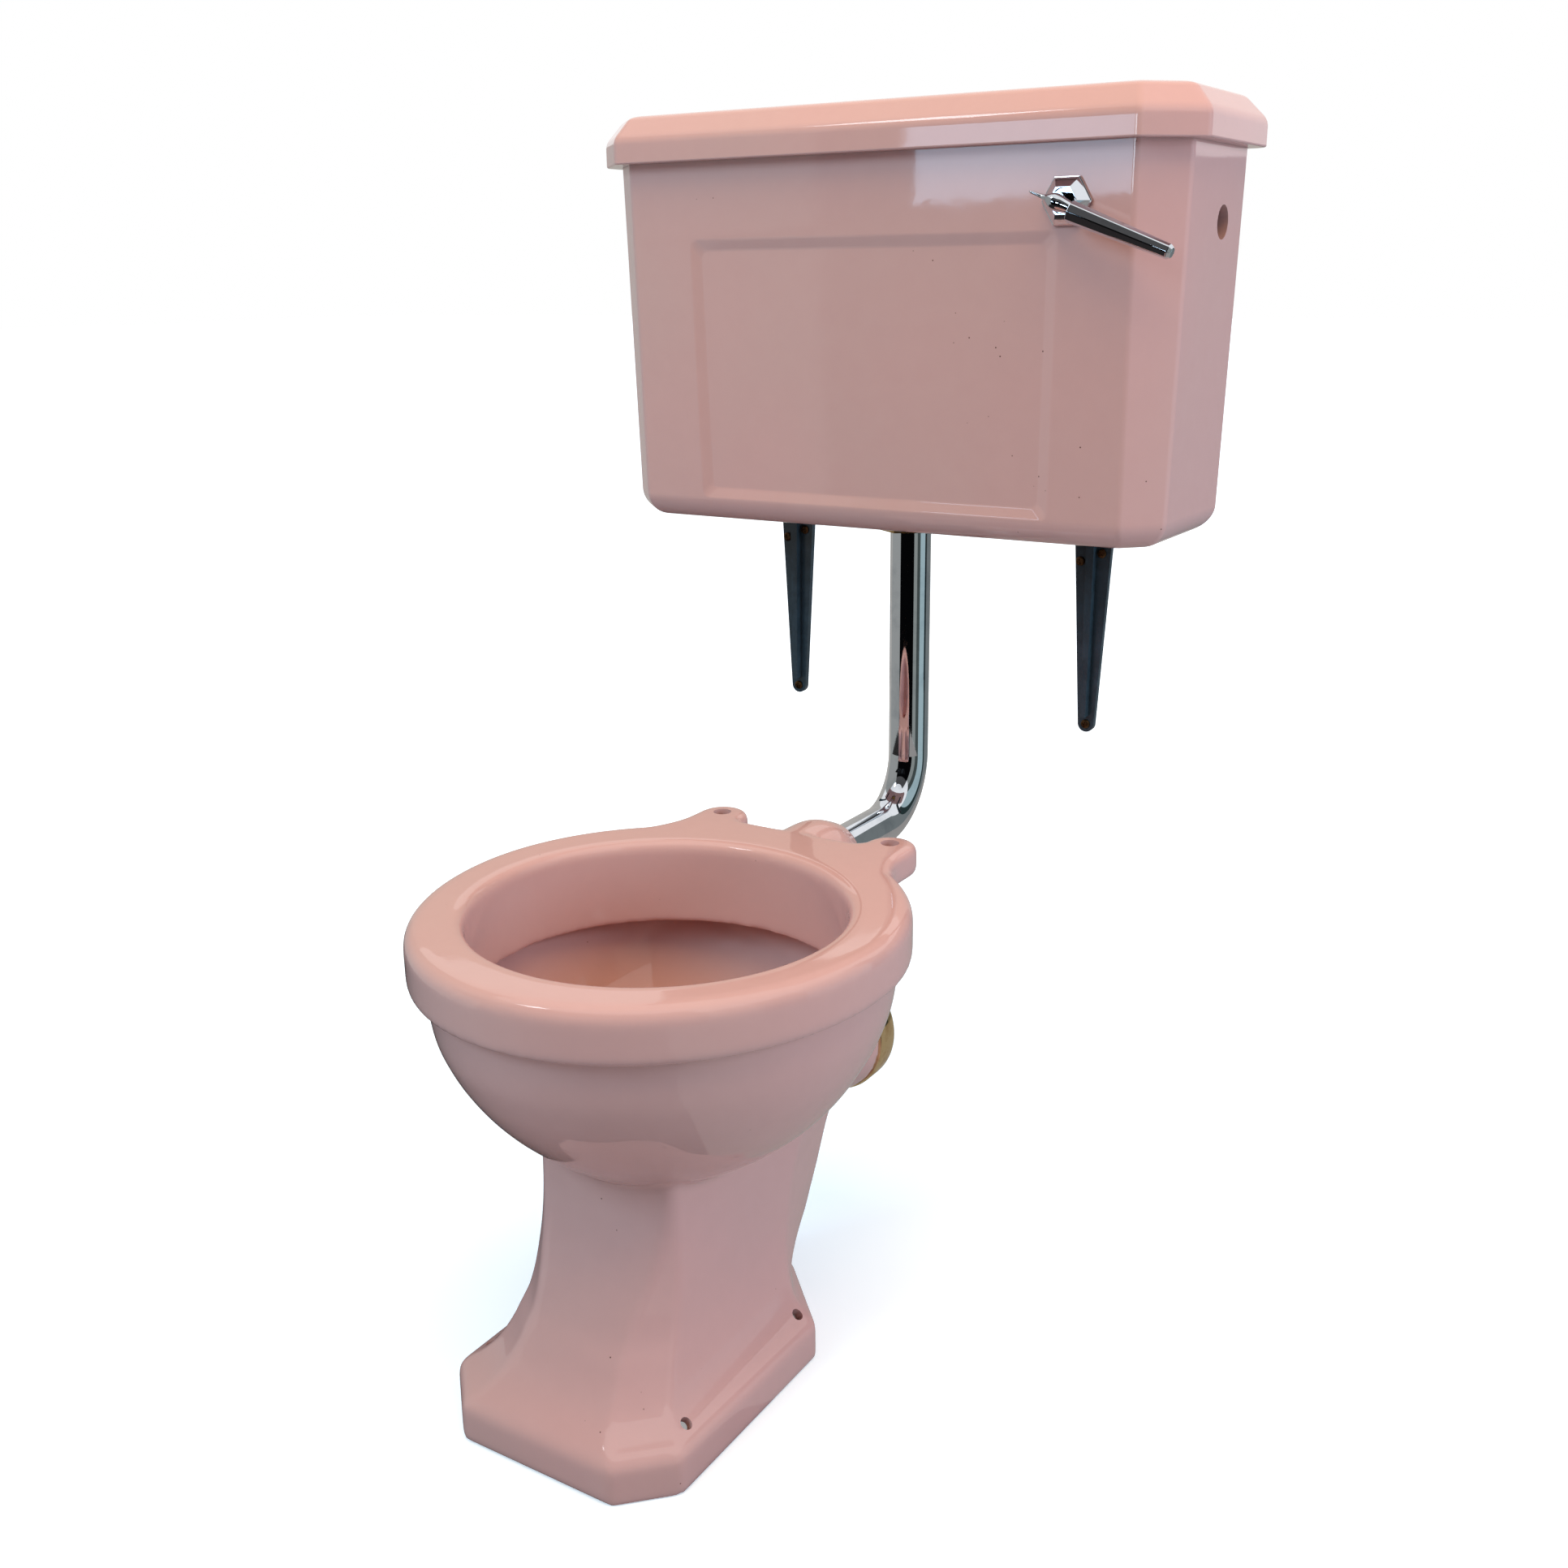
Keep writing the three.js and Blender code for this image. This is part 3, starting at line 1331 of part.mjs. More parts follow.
function buildFloatArm() {
  const hub = rodY(armPinX, sideHoleY - armHubHalf, sideHoleY + armHubHalf, armPinZ, armHubRadius);
  const nib = block(
    armPinX - nibOffset,
    armPinX + nibHalf,
    sideHoleY - nibHalf,
    sideHoleY + nibHalf,
    armPinZ,
    armPinZ + nibHeight,
  );
  const bendEnd = elbow.clone().addScaledVector(armDirection, armRadius / 2);
  const straight = rod(armPinPlace, bendEnd, armRadius, screwSides);
  const reach = rod(elbow, ballSkin.clone().addScaledVector(lastRun, armEntry), armRadius, screwSides);
  return cut(
    union(hub, nib, straight, reach),
    rodY(
      armPinX,
      sideHoleY - armHubHalf - overrun,
      sideHoleY + armHubHalf + overrun,
      armPinZ,
      armPinRadius + gap,
      screwSides,
    ),
  );
}
addPiece('float_arm', buildFloatArm(), brass);

function buildBall() {
  const sphere = new THREE.SphereGeometry(ballRadius, ballSides, ballRows);
  sphere.translate(ballCentre.x, ballCentre.y, ballCentre.z);
  const bossFrom = ballSkin.clone().addScaledVector(lastRun, -ballBossHeight / 2);
  const bossTo = ballSkin.clone().addScaledVector(lastRun, ballBossHeight);
  const boreTo = ballSkin.clone().addScaledVector(lastRun, armEntry + gap);
  const boreFrom = bossFrom.clone().addScaledVector(lastRun, -overrun);
  return cut(
    union(toSolid(sphere), rod(bossFrom, bossTo, ballBossRadius)),
    rod(boreFrom, boreTo, armRadius + gap, screwSides),
  );
}
addPiece('float_ball', buildBall(), copper);

const armPinLength = 26;
addPiece('arm_pin', rodY(
  armPinX,
  sideHoleY - armPinLength / 2,
  sideHoleY + armPinLength / 2,
  armPinZ,
  armPinRadius,
  screwSides,
), steel);

// Flush pipe: straight down from the tail, one bend, and a short run into the horn
const pipeWall = 2;
const pipeBore = pipeRadius - pipeWall;
const pipeBendRadius = 60;
const pipeEndY = 18;
const pipeBendSteps = 9;

function pipeRings(radius) {
  const centre = new THREE.Vector3(0, pipeY - pipeBendRadius, hornHeight + pipeBendRadius);
  const ring = (place, outward) => {
    const points = [];
    for (let j = 0; j < legSides; j += 1) {
      const angle = (j / legSides) * Math.PI * 2;
      points.push(place.clone()
        .addScaledVector(outward, radius * Math.cos(angle))
        .addScaledVector(sweepAcross, radius * Math.sin(angle)));
    }
    return points;
  };
  const rings = [ring(new THREE.Vector3(0, pipeY, pipeTopZ), toWall)];
  for (let i = 0; i <= pipeBendSteps; i += 1) {
    const angle = (i / pipeBendSteps) * (Math.PI / 2);
    const outward = new THREE.Vector3(0, Math.cos(angle), -Math.sin(angle));
    rings.push(ring(centre.clone().addScaledVector(outward, pipeBendRadius), outward));
  }
  rings.push(ring(new THREE.Vector3(0, pipeEndY, hornHeight), new THREE.Vector3(0, 0, -1)));
  return rings;
}

function buildPipe() {
  const outer = pipeRings(pipeRadius);
  const inner = pipeRings(pipeBore).reverse();
  return toSolid(new LoftGeometry([...outer, ...inner, outer[0]]));
}
addPiece('flush_pipe', buildPipe(), chrome);

const sealRootY = 22;
const sealEndY = 49;
addPiece('flush_pipe_seal', cut(
  rodY(0, sealRootY, sealEndY, hornHeight, hornBore - gap),
  rodY(0, sealRootY - overrun, sealEndY + overrun, hornHeight, pipeRadius + gap),
), rubber);

// Wall brackets: a tapered leg with a rib, and an arm under the cistern
const bracketShift = -9.8;
const legTopHalfWidth = 19;
const legTipRadius = 8;
const legLength = 201;
const legThickness = 6;
const ribHeight = 8;
const ribTopHalfWidth = 4;
const ribTipHalfWidth = 2.4;
const armThickness = 5;
const armTopZ = bodyBottomZ - gap;
const armReach = 114;
const armFrontY = wallY - armReach;
const armTipHalfWidth = 11;
const gussetHalf = 3;
const gussetDrop = 16;
const gussetReach = 96;
const gussetFrontY = wallY - gussetReach;
const legTipZ = armTopZ - legLength;
const tipScrewZ = legTipZ + legTipRadius;
const topScrews = [
  { across: -11.7, drop: 38 },
  { across: 8.9, drop: 29.4 },
];
const curveSteps = 8;
const screwRadius = 2.2;
const screwHeadRadius = 4.4;
const screwHeadShare = 0.8;
const screwHeadHeight = 2.4;
const screwReach = 12;
const screwRecess = 1.1;
const screwRecessHalf = 0.6;
const screwRecessReach = 2.6;
const legFrontY = wallY - legThickness;

// A flat outline in X and Z, given thickness along Y from the wall side to the front.
function plateXZ(shape, frontY, backY) {
  const geometry = new THREE.ExtrudeGeometry(shape, {
    depth: backY - frontY,
    bevelEnabled: false,
    curveSegments: curveSteps,
  });
  geometry.rotateX(Math.PI / 2);
  geometry.translate(0, backY, 0);
  return toSolid(geometry);
}

function screwPlaces(x) {
  const places = topScrews.map(({ across, drop }) => ({ x: x + across, z: armTopZ - drop }));
  return [...places, { x, z: tipScrewZ }];
}

function buildBracket(x) {
  const leg = new THREE.Shape();
  leg.moveTo(x + legTopHalfWidth, armTopZ);
  leg.lineTo(x - legTopHalfWidth, armTopZ);
  leg.lineTo(x - legTipRadius, tipScrewZ);
  leg.absarc(x, tipScrewZ, legTipRadius, Math.PI, Math.PI * 2, false);
  const rib = new THREE.Shape();
  rib.moveTo(x + ribTopHalfWidth, armTopZ);
  rib.lineTo(x - ribTopHalfWidth, armTopZ);
  rib.lineTo(x - ribTipHalfWidth, tipScrewZ + legTipRadius);
  rib.lineTo(x + ribTipHalfWidth, tipScrewZ + legTipRadius);
  const arm = new THREE.Shape();
  arm.moveTo(x + legTopHalfWidth, wallY);
  arm.lineTo(x - legTopHalfWidth, wallY);
  arm.lineTo(x - armTipHalfWidth, armFrontY);
  arm.lineTo(x + armTipHalfWidth, armFrontY);
  const armGeometry = new THREE.ExtrudeGeometry(arm, { depth: armThickness, bevelEnabled: false });
  armGeometry.translate(0, 0, armTopZ - armThickness);
  const gusset = new THREE.Shape();
  gusset.moveTo(gussetFrontY, armTopZ - armThickness / 2);
  gusset.lineTo(wallY, armTopZ - armThickness / 2);
  gusset.lineTo(wallY, armTopZ - armThickness - gussetDrop);
  const gussetGeometry = new THREE.ExtrudeGeometry(gusset, { depth: 2 * gussetHalf, bevelEnabled: false });
  gussetGeometry.rotateX(Math.PI / 2);
  gussetGeometry.rotateZ(Math.PI / 2);
  gussetGeometry.translate(x - gussetHalf, 0, 0);
  const holes = screwPlaces(x).map((place) => (
    rodY(place.x, legFrontY - overrun, wallY + overrun, place.z, screwRadius + gap, screwSides)
  ));
  return cut(
    union(
      plateXZ(leg, legFrontY, wallY),
      plateXZ(rib, legFrontY - ribHeight, legFrontY + gap),
      toSolid(armGeometry),
      toSolid(gussetGeometry),
    ),
    ...holes,
  );
}

function buildScrew(x, z) {
  const headBackY = legFrontY - gap;
  const headFrontY = headBackY - screwHeadHeight;
  const recess = (halfX, halfZ) => block(
    x - halfX,
    x + halfX,
    headFrontY - overrun,
    headFrontY + screwRecess,
    z - halfZ,
    z + halfZ,
  );
  return cut(
    union(
      rodY(x, headBackY - gap, wallY + screwReach, z, screwRadius, screwSides, screwRadius / 2),
      rodY(x, headBackY, headFrontY, z, screwHeadRadius, screwSides, screwHeadRadius * screwHeadShare),
    ),
    recess(screwRecessReach, screwRecessHalf),
    recess(screwRecessHalf, screwRecessReach),
  );
}

for (const [side, name] of [[-1, 'left'], [1, 'right']]) {
  const x = side * bracketX + bracketShift;
  addPiece(`bracket_${name}`, buildBracket(x), iron);
  screwPlaces(x).forEach((place, i) => {
    addPiece(`bracket_screw_${name}_${i + 1}`, buildScrew(place.x, place.z), steel);
  });
}

// The set's origin lies on the floor, under the middle of everything from the valve's tail to the
// lid's right edge, and from the rim to the screws' points.
const setRearY = wallY + screwReach;
const setRightX = bodyHalfWidthTop + lidOverhang;
toilet.position.set(-(shankEndX + setRightX) / 2, -(rimFrontY + setRearY) / 2, 0);

export default toilet;
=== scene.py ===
import math

import bmesh
import bpy
import numpy as np
from mathutils import Matrix, Vector


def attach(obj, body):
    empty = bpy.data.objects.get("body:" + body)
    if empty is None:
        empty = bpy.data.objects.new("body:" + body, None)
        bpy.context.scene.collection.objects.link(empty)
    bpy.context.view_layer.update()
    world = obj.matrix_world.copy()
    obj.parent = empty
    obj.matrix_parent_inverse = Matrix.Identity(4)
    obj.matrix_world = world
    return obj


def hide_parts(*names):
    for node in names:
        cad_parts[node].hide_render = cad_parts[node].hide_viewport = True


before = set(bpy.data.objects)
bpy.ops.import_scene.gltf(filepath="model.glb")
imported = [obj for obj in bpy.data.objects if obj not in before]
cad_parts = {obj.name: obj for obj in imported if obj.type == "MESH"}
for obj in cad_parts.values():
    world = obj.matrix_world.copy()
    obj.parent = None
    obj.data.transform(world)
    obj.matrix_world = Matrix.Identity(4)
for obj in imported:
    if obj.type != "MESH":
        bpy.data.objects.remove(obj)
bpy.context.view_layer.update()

# All lengths below are in millimetres in the frame that the parts were drawn in, where y = 0 is
# the line of the seat holes. SHIFT carries them to the row frame.
MM = 0.001
SHIFT = np.array([10.7405, 63.5, 0.0])
TURN = 2 * math.pi
WELD, CAD_WELD = 1e-6, 2e-5
THINNEST = 0.01
TO_WALL, TO_FRONT = (0, 1, 0), (0, -1, 0)


# Shapes

def new_object(name, points, faces):
    """A mesh object from points in millimetres."""
    mesh = bpy.data.meshes.new(name)
    placed = (np.asarray(points, dtype=float) + SHIFT) * MM
    mesh.from_pydata(placed.tolist(), [], faces)
    bm = bmesh.new()
    bm.from_mesh(mesh)
    bmesh.ops.remove_doubles(bm, verts=bm.verts, dist=WELD)
    bmesh.ops.recalc_face_normals(bm, faces=bm.faces)
    bm.to_mesh(mesh)
    bm.free()
    obj = bpy.data.objects.new(name, mesh)
    bpy.context.scene.collection.objects.link(obj)
    return obj


def loft(name, rings, closed=False):
    """A body through rings of equally many points. A closed one joins its last ring to its first."""
    rings = [np.asarray(ring, dtype=float) for ring in rings]
    count, sides = len(rings), len(rings[0])
    faces = []
    for i in range(count if closed else count - 1):
        k = (i + 1) % count
        for j in range(sides):
            n = (j + 1) % sides
            faces.append((i * sides + j, i * sides + n, k * sides + n, k * sides + j))
    if not closed:
        faces.append(tuple(reversed(range(sides))))
        faces.append(tuple(range((count - 1) * sides, count * sides)))
    return new_object(name, np.vstack(rings), faces)


def axes_for(direction):
    """Two directions square to this one and to each other."""
    d = np.asarray(direction, dtype=float)
    d = d / np.linalg.norm(d)
    a = np.cross(d, [0.0, 0.0, 1.0] if abs(d[2]) < 0.9 else [1.0, 0.0, 0.0])
    a = a / np.linalg.norm(a)
    return d, a, np.cross(d, a)


def circle(sides):
    """Angles once round."""
    return np.arange(sides) / sides * TURN


def turned(name, profile, place, direction, sides=64, closed=False):
    """A body turned round a line. The profile is a list of (distance along, radius)."""
    d, a, b = axes_for(direction)
    round_line = np.outer(np.cos(circle(sides)), a) + np.outer(np.sin(circle(sides)), b)
    start = np.asarray(place, dtype=float)
    rings = [start + d * along + max(radius, THINNEST) * round_line for along, radius in profile]
    return loft(name, rings, closed)


def rod(name, start, end, radius, sides=32):
    start, end = np.asarray(start, dtype=float), np.asarray(end, dtype=float)
    return turned(name, [(0, radius), (np.linalg.norm(end - start), radius)], start, end - start, sides)


def smooth_through(x, y, at):
    """Values at the places named, on a smooth curve through the rows that never overshoots them."""
    x, y = np.asarray(x, dtype=float), np.asarray(y, dtype=float)
    h = np.diff(x)
    d = np.diff(y) / h
    m = np.zeros_like(y)
    m[0], m[-1] = d[0], d[-1]
    for i in range(1, len(y) - 1):
        if d[i - 1] * d[i] > 0:
            w1, w2 = 2 * h[i] + h[i - 1], h[i] + 2 * h[i - 1]
            m[i] = (w1 + w2) / (w1 / d[i - 1] + w2 / d[i])
    k = np.clip(np.searchsorted(x, at, side="right") - 1, 0, len(h) - 1)
    t = (at - x[k]) / h[k]
    return ((1 + 2 * t) * (1 - t) ** 2 * y[k] + t * (1 - t) ** 2 * h[k] * m[k]
            + t * t * (3 - 2 * t) * y[k + 1] + t * t * (t - 1) * h[k] * m[k + 1])


def finer(rows, steps):
    """The same rows, with smooth ones put between them."""
    rows = np.asarray(rows, dtype=float)
    at = np.linspace(rows[0, 0], rows[-1, 0], steps)
    columns = [smooth_through(rows[:, 0], rows[:, c], at) for c in range(1, rows.shape[1])]
    return np.column_stack([at] + columns)


def quarter(steps):
    """Angles from zero to a right angle."""
    return [i / steps * math.pi / 2 for i in range(steps + 1)]


def under_edge(bottom, radius, steps):
    """Heights and insets of a rounded lower edge."""
    return [(bottom + radius * (1 - math.cos(a)), radius * (1 - math.sin(a))) for a in quarter(steps)]


def upper_edge(top, radius, steps):
    """Heights and insets of a rounded upper edge."""
    return [(top - radius * (1 - math.sin(a)), radius * (1 - math.cos(a))) for a in quarter(steps)]


def rounded(corners, segments):
    """A polygon with arcs at its corners. Each corner is (x, y, radius)."""
    points = []
    count = len(corners)
    for i, (x, y, radius) in enumerate(corners):
        here = np.array([x, y])
        back = np.array(corners[i - 1][:2]) - here
        on = np.array(corners[(i + 1) % count][:2]) - here
        back_length, on_length = np.linalg.norm(back), np.linalg.norm(on)
        back, on = back / back_length, on / on_length
        opening = math.acos(max(-1.0, min(1.0, float(back @ on))))
        turn = math.pi - opening
        reach = min(radius * math.tan(turn / 2), back_length / 2, on_length / 2)
        real = reach / math.tan(turn / 2) if turn > 1e-4 else 0.0
        start, end = here + back * reach, here + on * reach
        inward = back + on
        size = np.linalg.norm(inward)
        if real < 1e-6 or size < 1e-6:
            points += [tuple(start + (end - start) * s / segments) for s in range(segments + 1)]
            continue
        centre = here + inward / size * real / math.sin(opening / 2)
        a, b = start - centre, end - centre
        for s in range(segments + 1):
            t = s / segments
            arc = math.sin((1 - t) * turn) * a + math.sin(t * turn) * b
            points.append(tuple(centre + arc / math.sin(turn)))
    return points


def egg(z, half, front, rear, middle, sides=160):
    """An egg-shaped ring: one half ellipse in front of the middle line and one behind it."""
    angles = circle(sides)
    reach = np.where(np.sin(angles) < 0, middle - front, rear - middle)
    return np.column_stack([half * np.cos(angles), middle + reach * np.sin(angles), np.full(sides, z)])


def flat(points, z):
    return [(x, y, z) for x, y in points]


def mix(a, b, t):
    return a + (b - a) * t


def bake(obj):
    """Turns an object's modifiers into its own mesh."""
    graph = bpy.context.evaluated_depsgraph_get()
    mesh = bpy.data.meshes.new_from_object(obj.evaluated_get(graph))
    old = obj.data
    obj.modifiers.clear()
    obj.data = mesh
    bpy.data.meshes.remove(old)
    return obj


def combine(obj, operation, others):
    """Joins bodies to this one or cuts them from it."""
    for other in others:
        step = obj.modifiers.new("step", "BOOLEAN")
        step.operation = operation
        step.solver = "MANIFOLD"
        step.object = other
    bake(obj)
    for other in others:
        mesh = other.data
        bpy.data.objects.remove(other)
        bpy.data.meshes.remove(mesh)
    return obj


def join(obj, *others):
    return combine(obj, "UNION", others)


def cut(obj, *others):
    return combine(obj, "DIFFERENCE", others)


def soften(obj, voxel, rounds):
    """One skin over the whole body, with its corners eased as poured clay has them."""
    skin = obj.modifiers.new("skin", "REMESH")
    skin.mode = "VOXEL"
    skin.voxel_size = voxel * MM
    ease = obj.modifiers.new("ease", "SMOOTH")
    ease.factor = 0.5
    ease.iterations = rounds
    return bake(obj)


def bevel(obj, width, segments=3, angle=25):
    edge = obj.modifiers.new("edge", "BEVEL")
    edge.width = width * MM
    edge.segments = segments
    edge.limit_method = "ANGLE"
    edge.angle_limit = math.radians(angle)
    edge.use_clamp_overlap = True
    return bake(obj)


def shade(obj, sharp=35, weighted=True):
    """Smooth shading with sharp edges above an angle."""
    obj.data.shade_smooth()
    obj.data.set_sharp_from_angle(angle=math.radians(sharp))
    if weighted:
        normals = obj.modifiers.new("normals", "WEIGHTED_NORMAL")
        normals.keep_sharp = True
        normals.weight = 100
    return obj


# Finishes

class Finish:
    """A procedural node material built round one shader."""

    def __init__(self, name, colour, roughness, metallic=0.0, coat=0.0, coat_roughness=0.03, ior=1.5):
        self.material = bpy.data.materials.new(name)
        self.material.use_nodes = True
        self.tree = self.material.node_tree
        self.shader = self.tree.nodes["Principled BSDF"]
        for socket, value in (
            ("Base Color", (*colour, 1.0)),
            ("Roughness", roughness),
            ("Metallic", metallic),
            ("Coat Weight", coat),
            ("Coat Roughness", coat_roughness),
            ("IOR", ior),
        ):
            self.shader.inputs[socket].default_value = value
        self.place = self.tree.nodes.new("ShaderNodeTexCoord").outputs["Object"]

    def node(self, kind, **values):
        made = self.tree.nodes.new(kind)
        for key, value in values.items():
            setattr(made, key, value)
        return made

    def link(self, start, end):
        self.tree.links.new(start, end)

    def noise(self, scale, detail=3.0, roughness=0.5):
        made = self.node("ShaderNodeTexNoise")
        made.inputs["Scale"].default_value = scale
        made.inputs["Detail"].default_value = detail
        made.inputs["Roughness"].default_value = roughness
        self.link(self.place, made.inputs["Vector"])
        return made.outputs["Fac"]

    def spots(self, scale, size, soft):
        """One in small round spots, scattered, and zero between them."""
        cells = self.node("ShaderNodeTexVoronoi")
        cells.inputs["Scale"].default_value = scale
        self.link(self.place, cells.inputs["Vector"])
        return self.ramp(cells.outputs["Distance"], size, size + soft, 1.0, 0.0)

    def ramp(self, fac, low, high, start=0.0, end=1.0):
        made = self.node("ShaderNodeMapRange")
        for socket, value in zip(("From Min", "From Max", "To Min", "To Max"), (low, high, start, end)):
            made.inputs[socket].default_value = value
        self.link(fac, made.inputs["Value"])
        return made.outputs["Result"]

    def product(self, a, b):
        made = self.node("ShaderNodeMath", operation="MULTIPLY")
        self.link(a, made.inputs[0])
        self.link(b, made.inputs[1])
        return made.outputs["Value"]

    def blend(self, fac, a, b):
        """A colour mixed from two, each a colour or an output."""
        made = self.node("ShaderNodeMix", data_type="RGBA")
        self.link(fac, made.inputs["Factor"])
        for side, value in (("A", a), ("B", b)):
            socket = [s for s in made.inputs if s.name == side and s.type == "RGBA"][0]
            if isinstance(value, tuple):
                socket.default_value = (*value, 1.0)
            else:
                self.link(value, socket)
        return [s for s in made.outputs if s.type == "RGBA"][0]

    def colour(self, output):
        self.link(output, self.shader.inputs["Base Color"])

    def rough(self, output):
        self.link(output, self.shader.inputs["Roughness"])

    def relief(self, *layers):
        """Bumps, each (height output, distance in millimetres), from fine to broad."""
        last = None
        for height, distance in layers:
            made = self.node("ShaderNodeBump")
            made.inputs["Strength"].default_value = 1.0
            made.inputs["Distance"].default_value = distance * MM
            self.link(height, made.inputs["Height"])
            if last:
                self.link(last, made.inputs["Normal"])
            last = made.outputs["Normal"]
        self.link(last, self.shader.inputs["Normal"])
        if self.shader.inputs["Coat Weight"].default_value > 0:
            self.link(last, self.shader.inputs["Coat Normal"])


def linear(red, green, blue):
    """A colour written as it looks on a screen, from 0 to 255."""
    return tuple((c / 255 / 12.92) if c / 255 <= 0.04045 else ((c / 255 + 0.055) / 1.055) ** 2.4
                 for c in (red, green, blue))


def glaze_finish():
    """A fired glaze: a slightly uneven colour with rare dark specks, and a gentle waviness."""
    f = Finish("glaze", linear(206, 157, 150), 0.05, ior=1.52)
    broad = f.ramp(f.noise(3.0, 2.0), 0.35, 0.65)
    fine = f.ramp(f.noise(55.0, 4.0, 0.6), 0.3, 0.7)
    body = f.blend(broad, linear(204, 158, 151), linear(209, 156, 150))
    body = f.blend(f.ramp(fine, 0.0, 1.0, 0.0, 0.25), body, linear(200, 150, 144))
    rare = f.ramp(f.noise(9.0, 1.0), 0.62, 0.68)
    specks = f.product(f.spots(75.0, 0.035, 0.025), rare)
    f.colour(f.blend(specks, body, linear(92, 56, 50)))
    f.rough(f.ramp(f.noise(18.0, 3.0), 0.3, 0.7, 0.03, 0.06))
    f.relief((f.noise(300.0, 2.0), 0.004), (f.noise(45.0, 2.0), 0.04), (f.noise(11.0, 1.0), 0.3))
    return f.material


def metal_finish(name, colour, dark, rough_low, rough_high, scale, relief):
    """A metal whose colour and gloss vary, with fine pitting."""
    f = Finish(name, colour, rough_low, metallic=1.0)
    f.colour(f.blend(f.ramp(f.noise(scale, 4.0, 0.65), 0.5, 0.8), colour, dark))
    f.rough(f.ramp(f.noise(scale * 1.7, 4.0, 0.6), 0.35, 0.75, rough_low, rough_high))
    f.relief((f.noise(900.0, 2.0), relief * 0.2), (f.noise(scale, 3.0), relief))
    return f.material


def plain_finish(name, colour, other, roughness, scale, relief, coat=0.0):
    """Paint, rubber or plastic that wanders between two colours."""
    f = Finish(name, colour, roughness, coat=coat)
    f.colour(f.blend(f.ramp(f.noise(scale, 5.0, 0.6), 0.3, 0.7), colour, other))
    f.rough(f.ramp(f.noise(scale * 2, 3.0), 0.3, 0.7, roughness * 0.85, min(roughness * 1.15, 1.0)))
    f.relief((f.noise(scale * 12, 3.0), relief * 0.4), (f.noise(scale * 3, 3.0), relief))
    return f.material


FINISHES = {
    "glaze": glaze_finish(),
    "chrome": metal_finish(
        "chrome", linear(222, 226, 232), linear(190, 196, 204), 0.02, 0.05, 30.0, 0.004),
    "polished_brass": metal_finish(
        "polished_brass", linear(232, 208, 160), linear(190, 150, 96), 0.05, 0.16, 40.0, 0.05),
    "plain_brass": metal_finish(
        "plain_brass", linear(198, 160, 96), linear(140, 104, 56), 0.25, 0.42, 60.0, 0.06),
    "iron": plain_finish("iron", linear(50, 64, 73), linear(32, 43, 50), 0.36, 60.0, 0.12, coat=0.3),
    "screw_brass": metal_finish(
        "screw_brass", linear(104, 76, 50), linear(34, 25, 20), 0.35, 0.6, 220.0, 0.08),
    "rubber": plain_finish("rubber", linear(34, 33, 33), linear(24, 24, 24), 0.75, 80.0, 0.06),
    "copper": metal_finish("copper", linear(196, 122, 84), linear(120, 68, 46), 0.2, 0.4, 35.0, 0.06),
    "plastic": plain_finish("plastic", linear(222, 219, 208), linear(212, 208, 195), 0.4, 25.0, 0.03),
}


def place(obj, body, slot, *nodes):
    """Gives a finished piece its finish and its body, and hides the drawn parts it stands for."""
    obj.data.materials.clear()
    obj.data.materials.append(FINISHES[slot])
    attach(obj, body)
    if nodes:
        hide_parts(*nodes)
    return obj


# Pan

RIM_Z, RIM_HALF, RIM_FRONT, RIM_REAR, RIM_MIDDLE = 400, 192, -415, -15, -205
RIM_DEPTH, RIM_EDGE, RIM_FOOT = 42, 12, 4
OUTLET_Z, HORN_Z = 190, 361
WALL = 12

BOWL_Z, BOWL_HALF, BOWL_FRONT, BOWL_REAR = (188, 358), 181, -404, -14
BOWL_ROWS = [
    # height, reach to the front, reach to the rear, half width, as shares
    (0, 0.38, 0.34, 0.32),
    (0.07, 0.467, 0.471, 0.431),
    (0.14, 0.548, 0.602, 0.541),
    (0.235, 0.648, 0.728, 0.657),
    (0.353, 0.754, 0.832, 0.762),
    (0.482, 0.844, 0.906, 0.845),
    (0.63, 0.92, 0.958, 0.917),
    (0.776, 0.97, 0.99, 0.961),
    (0.924, 0.99, 1, 0.983),
    (1, 1, 1, 1),
]
FOOT_TOP, FOOT_HEAD = 206, 236
WAIST_HALF, FOOT_HALF, FOOT_CHAMFER = 66, 110, 39
FOOT_FRONT, WAIST_FRONT = -395.5, -291.5
FOOT_SIDE_REAR, WAIST_SIDE_REAR = -165, -92
REAR_HALF, FOOT_REAR, WAIST_REAR = 45, -97, 8
FOOT_CORNER = 10
FOOT_ROWS = [
    # height, spread of the sides, front, chamfer, rear end of the side, rear lean, as shares
    (0, 1, 1, 1, 1, 0),
    (0.135, 1, 1, 1, 1, 0),
    (0.158, 0.97, 0.985, 0.97, 1, -0.02),
    (0.175, 0.88, 0.95, 0.95, 1, -0.06),
    (0.195, 0.72, 0.88, 0.92, 1, -0.1),
    (0.245, 0.486, 0.693, 0.87, 0.98, -0.11),
    (0.27, 0.42, 0.62, 0.84, 0.96, -0.06),
    (0.33, 0.3, 0.49, 0.79, 0.93, 0.14),
    (0.38, 0.234, 0.398, 0.77, 0.9, 0.24),
    (0.447, 0.157, 0.265, 0.72, 0.82, 0.32),
    (0.53, 0.107, 0.172, 0.64, 0.73, 0.42),
    (0.617, 0.08, 0.098, 0.51, 0.67, 0.51),
    (0.71, 0.045, 0.05, 0.38, 0.55, 0.61),
    (0.806, 0.016, 0.022, 0.28, 0.37, 0.76),
    (0.903, 0, 0.01, 0.2, 0.2, 0.88),
    (1, 0, 0, 0.18, 0, 1),
]
CHAMFER_SHARE, REAR_SHARE = 0.586, 0.45
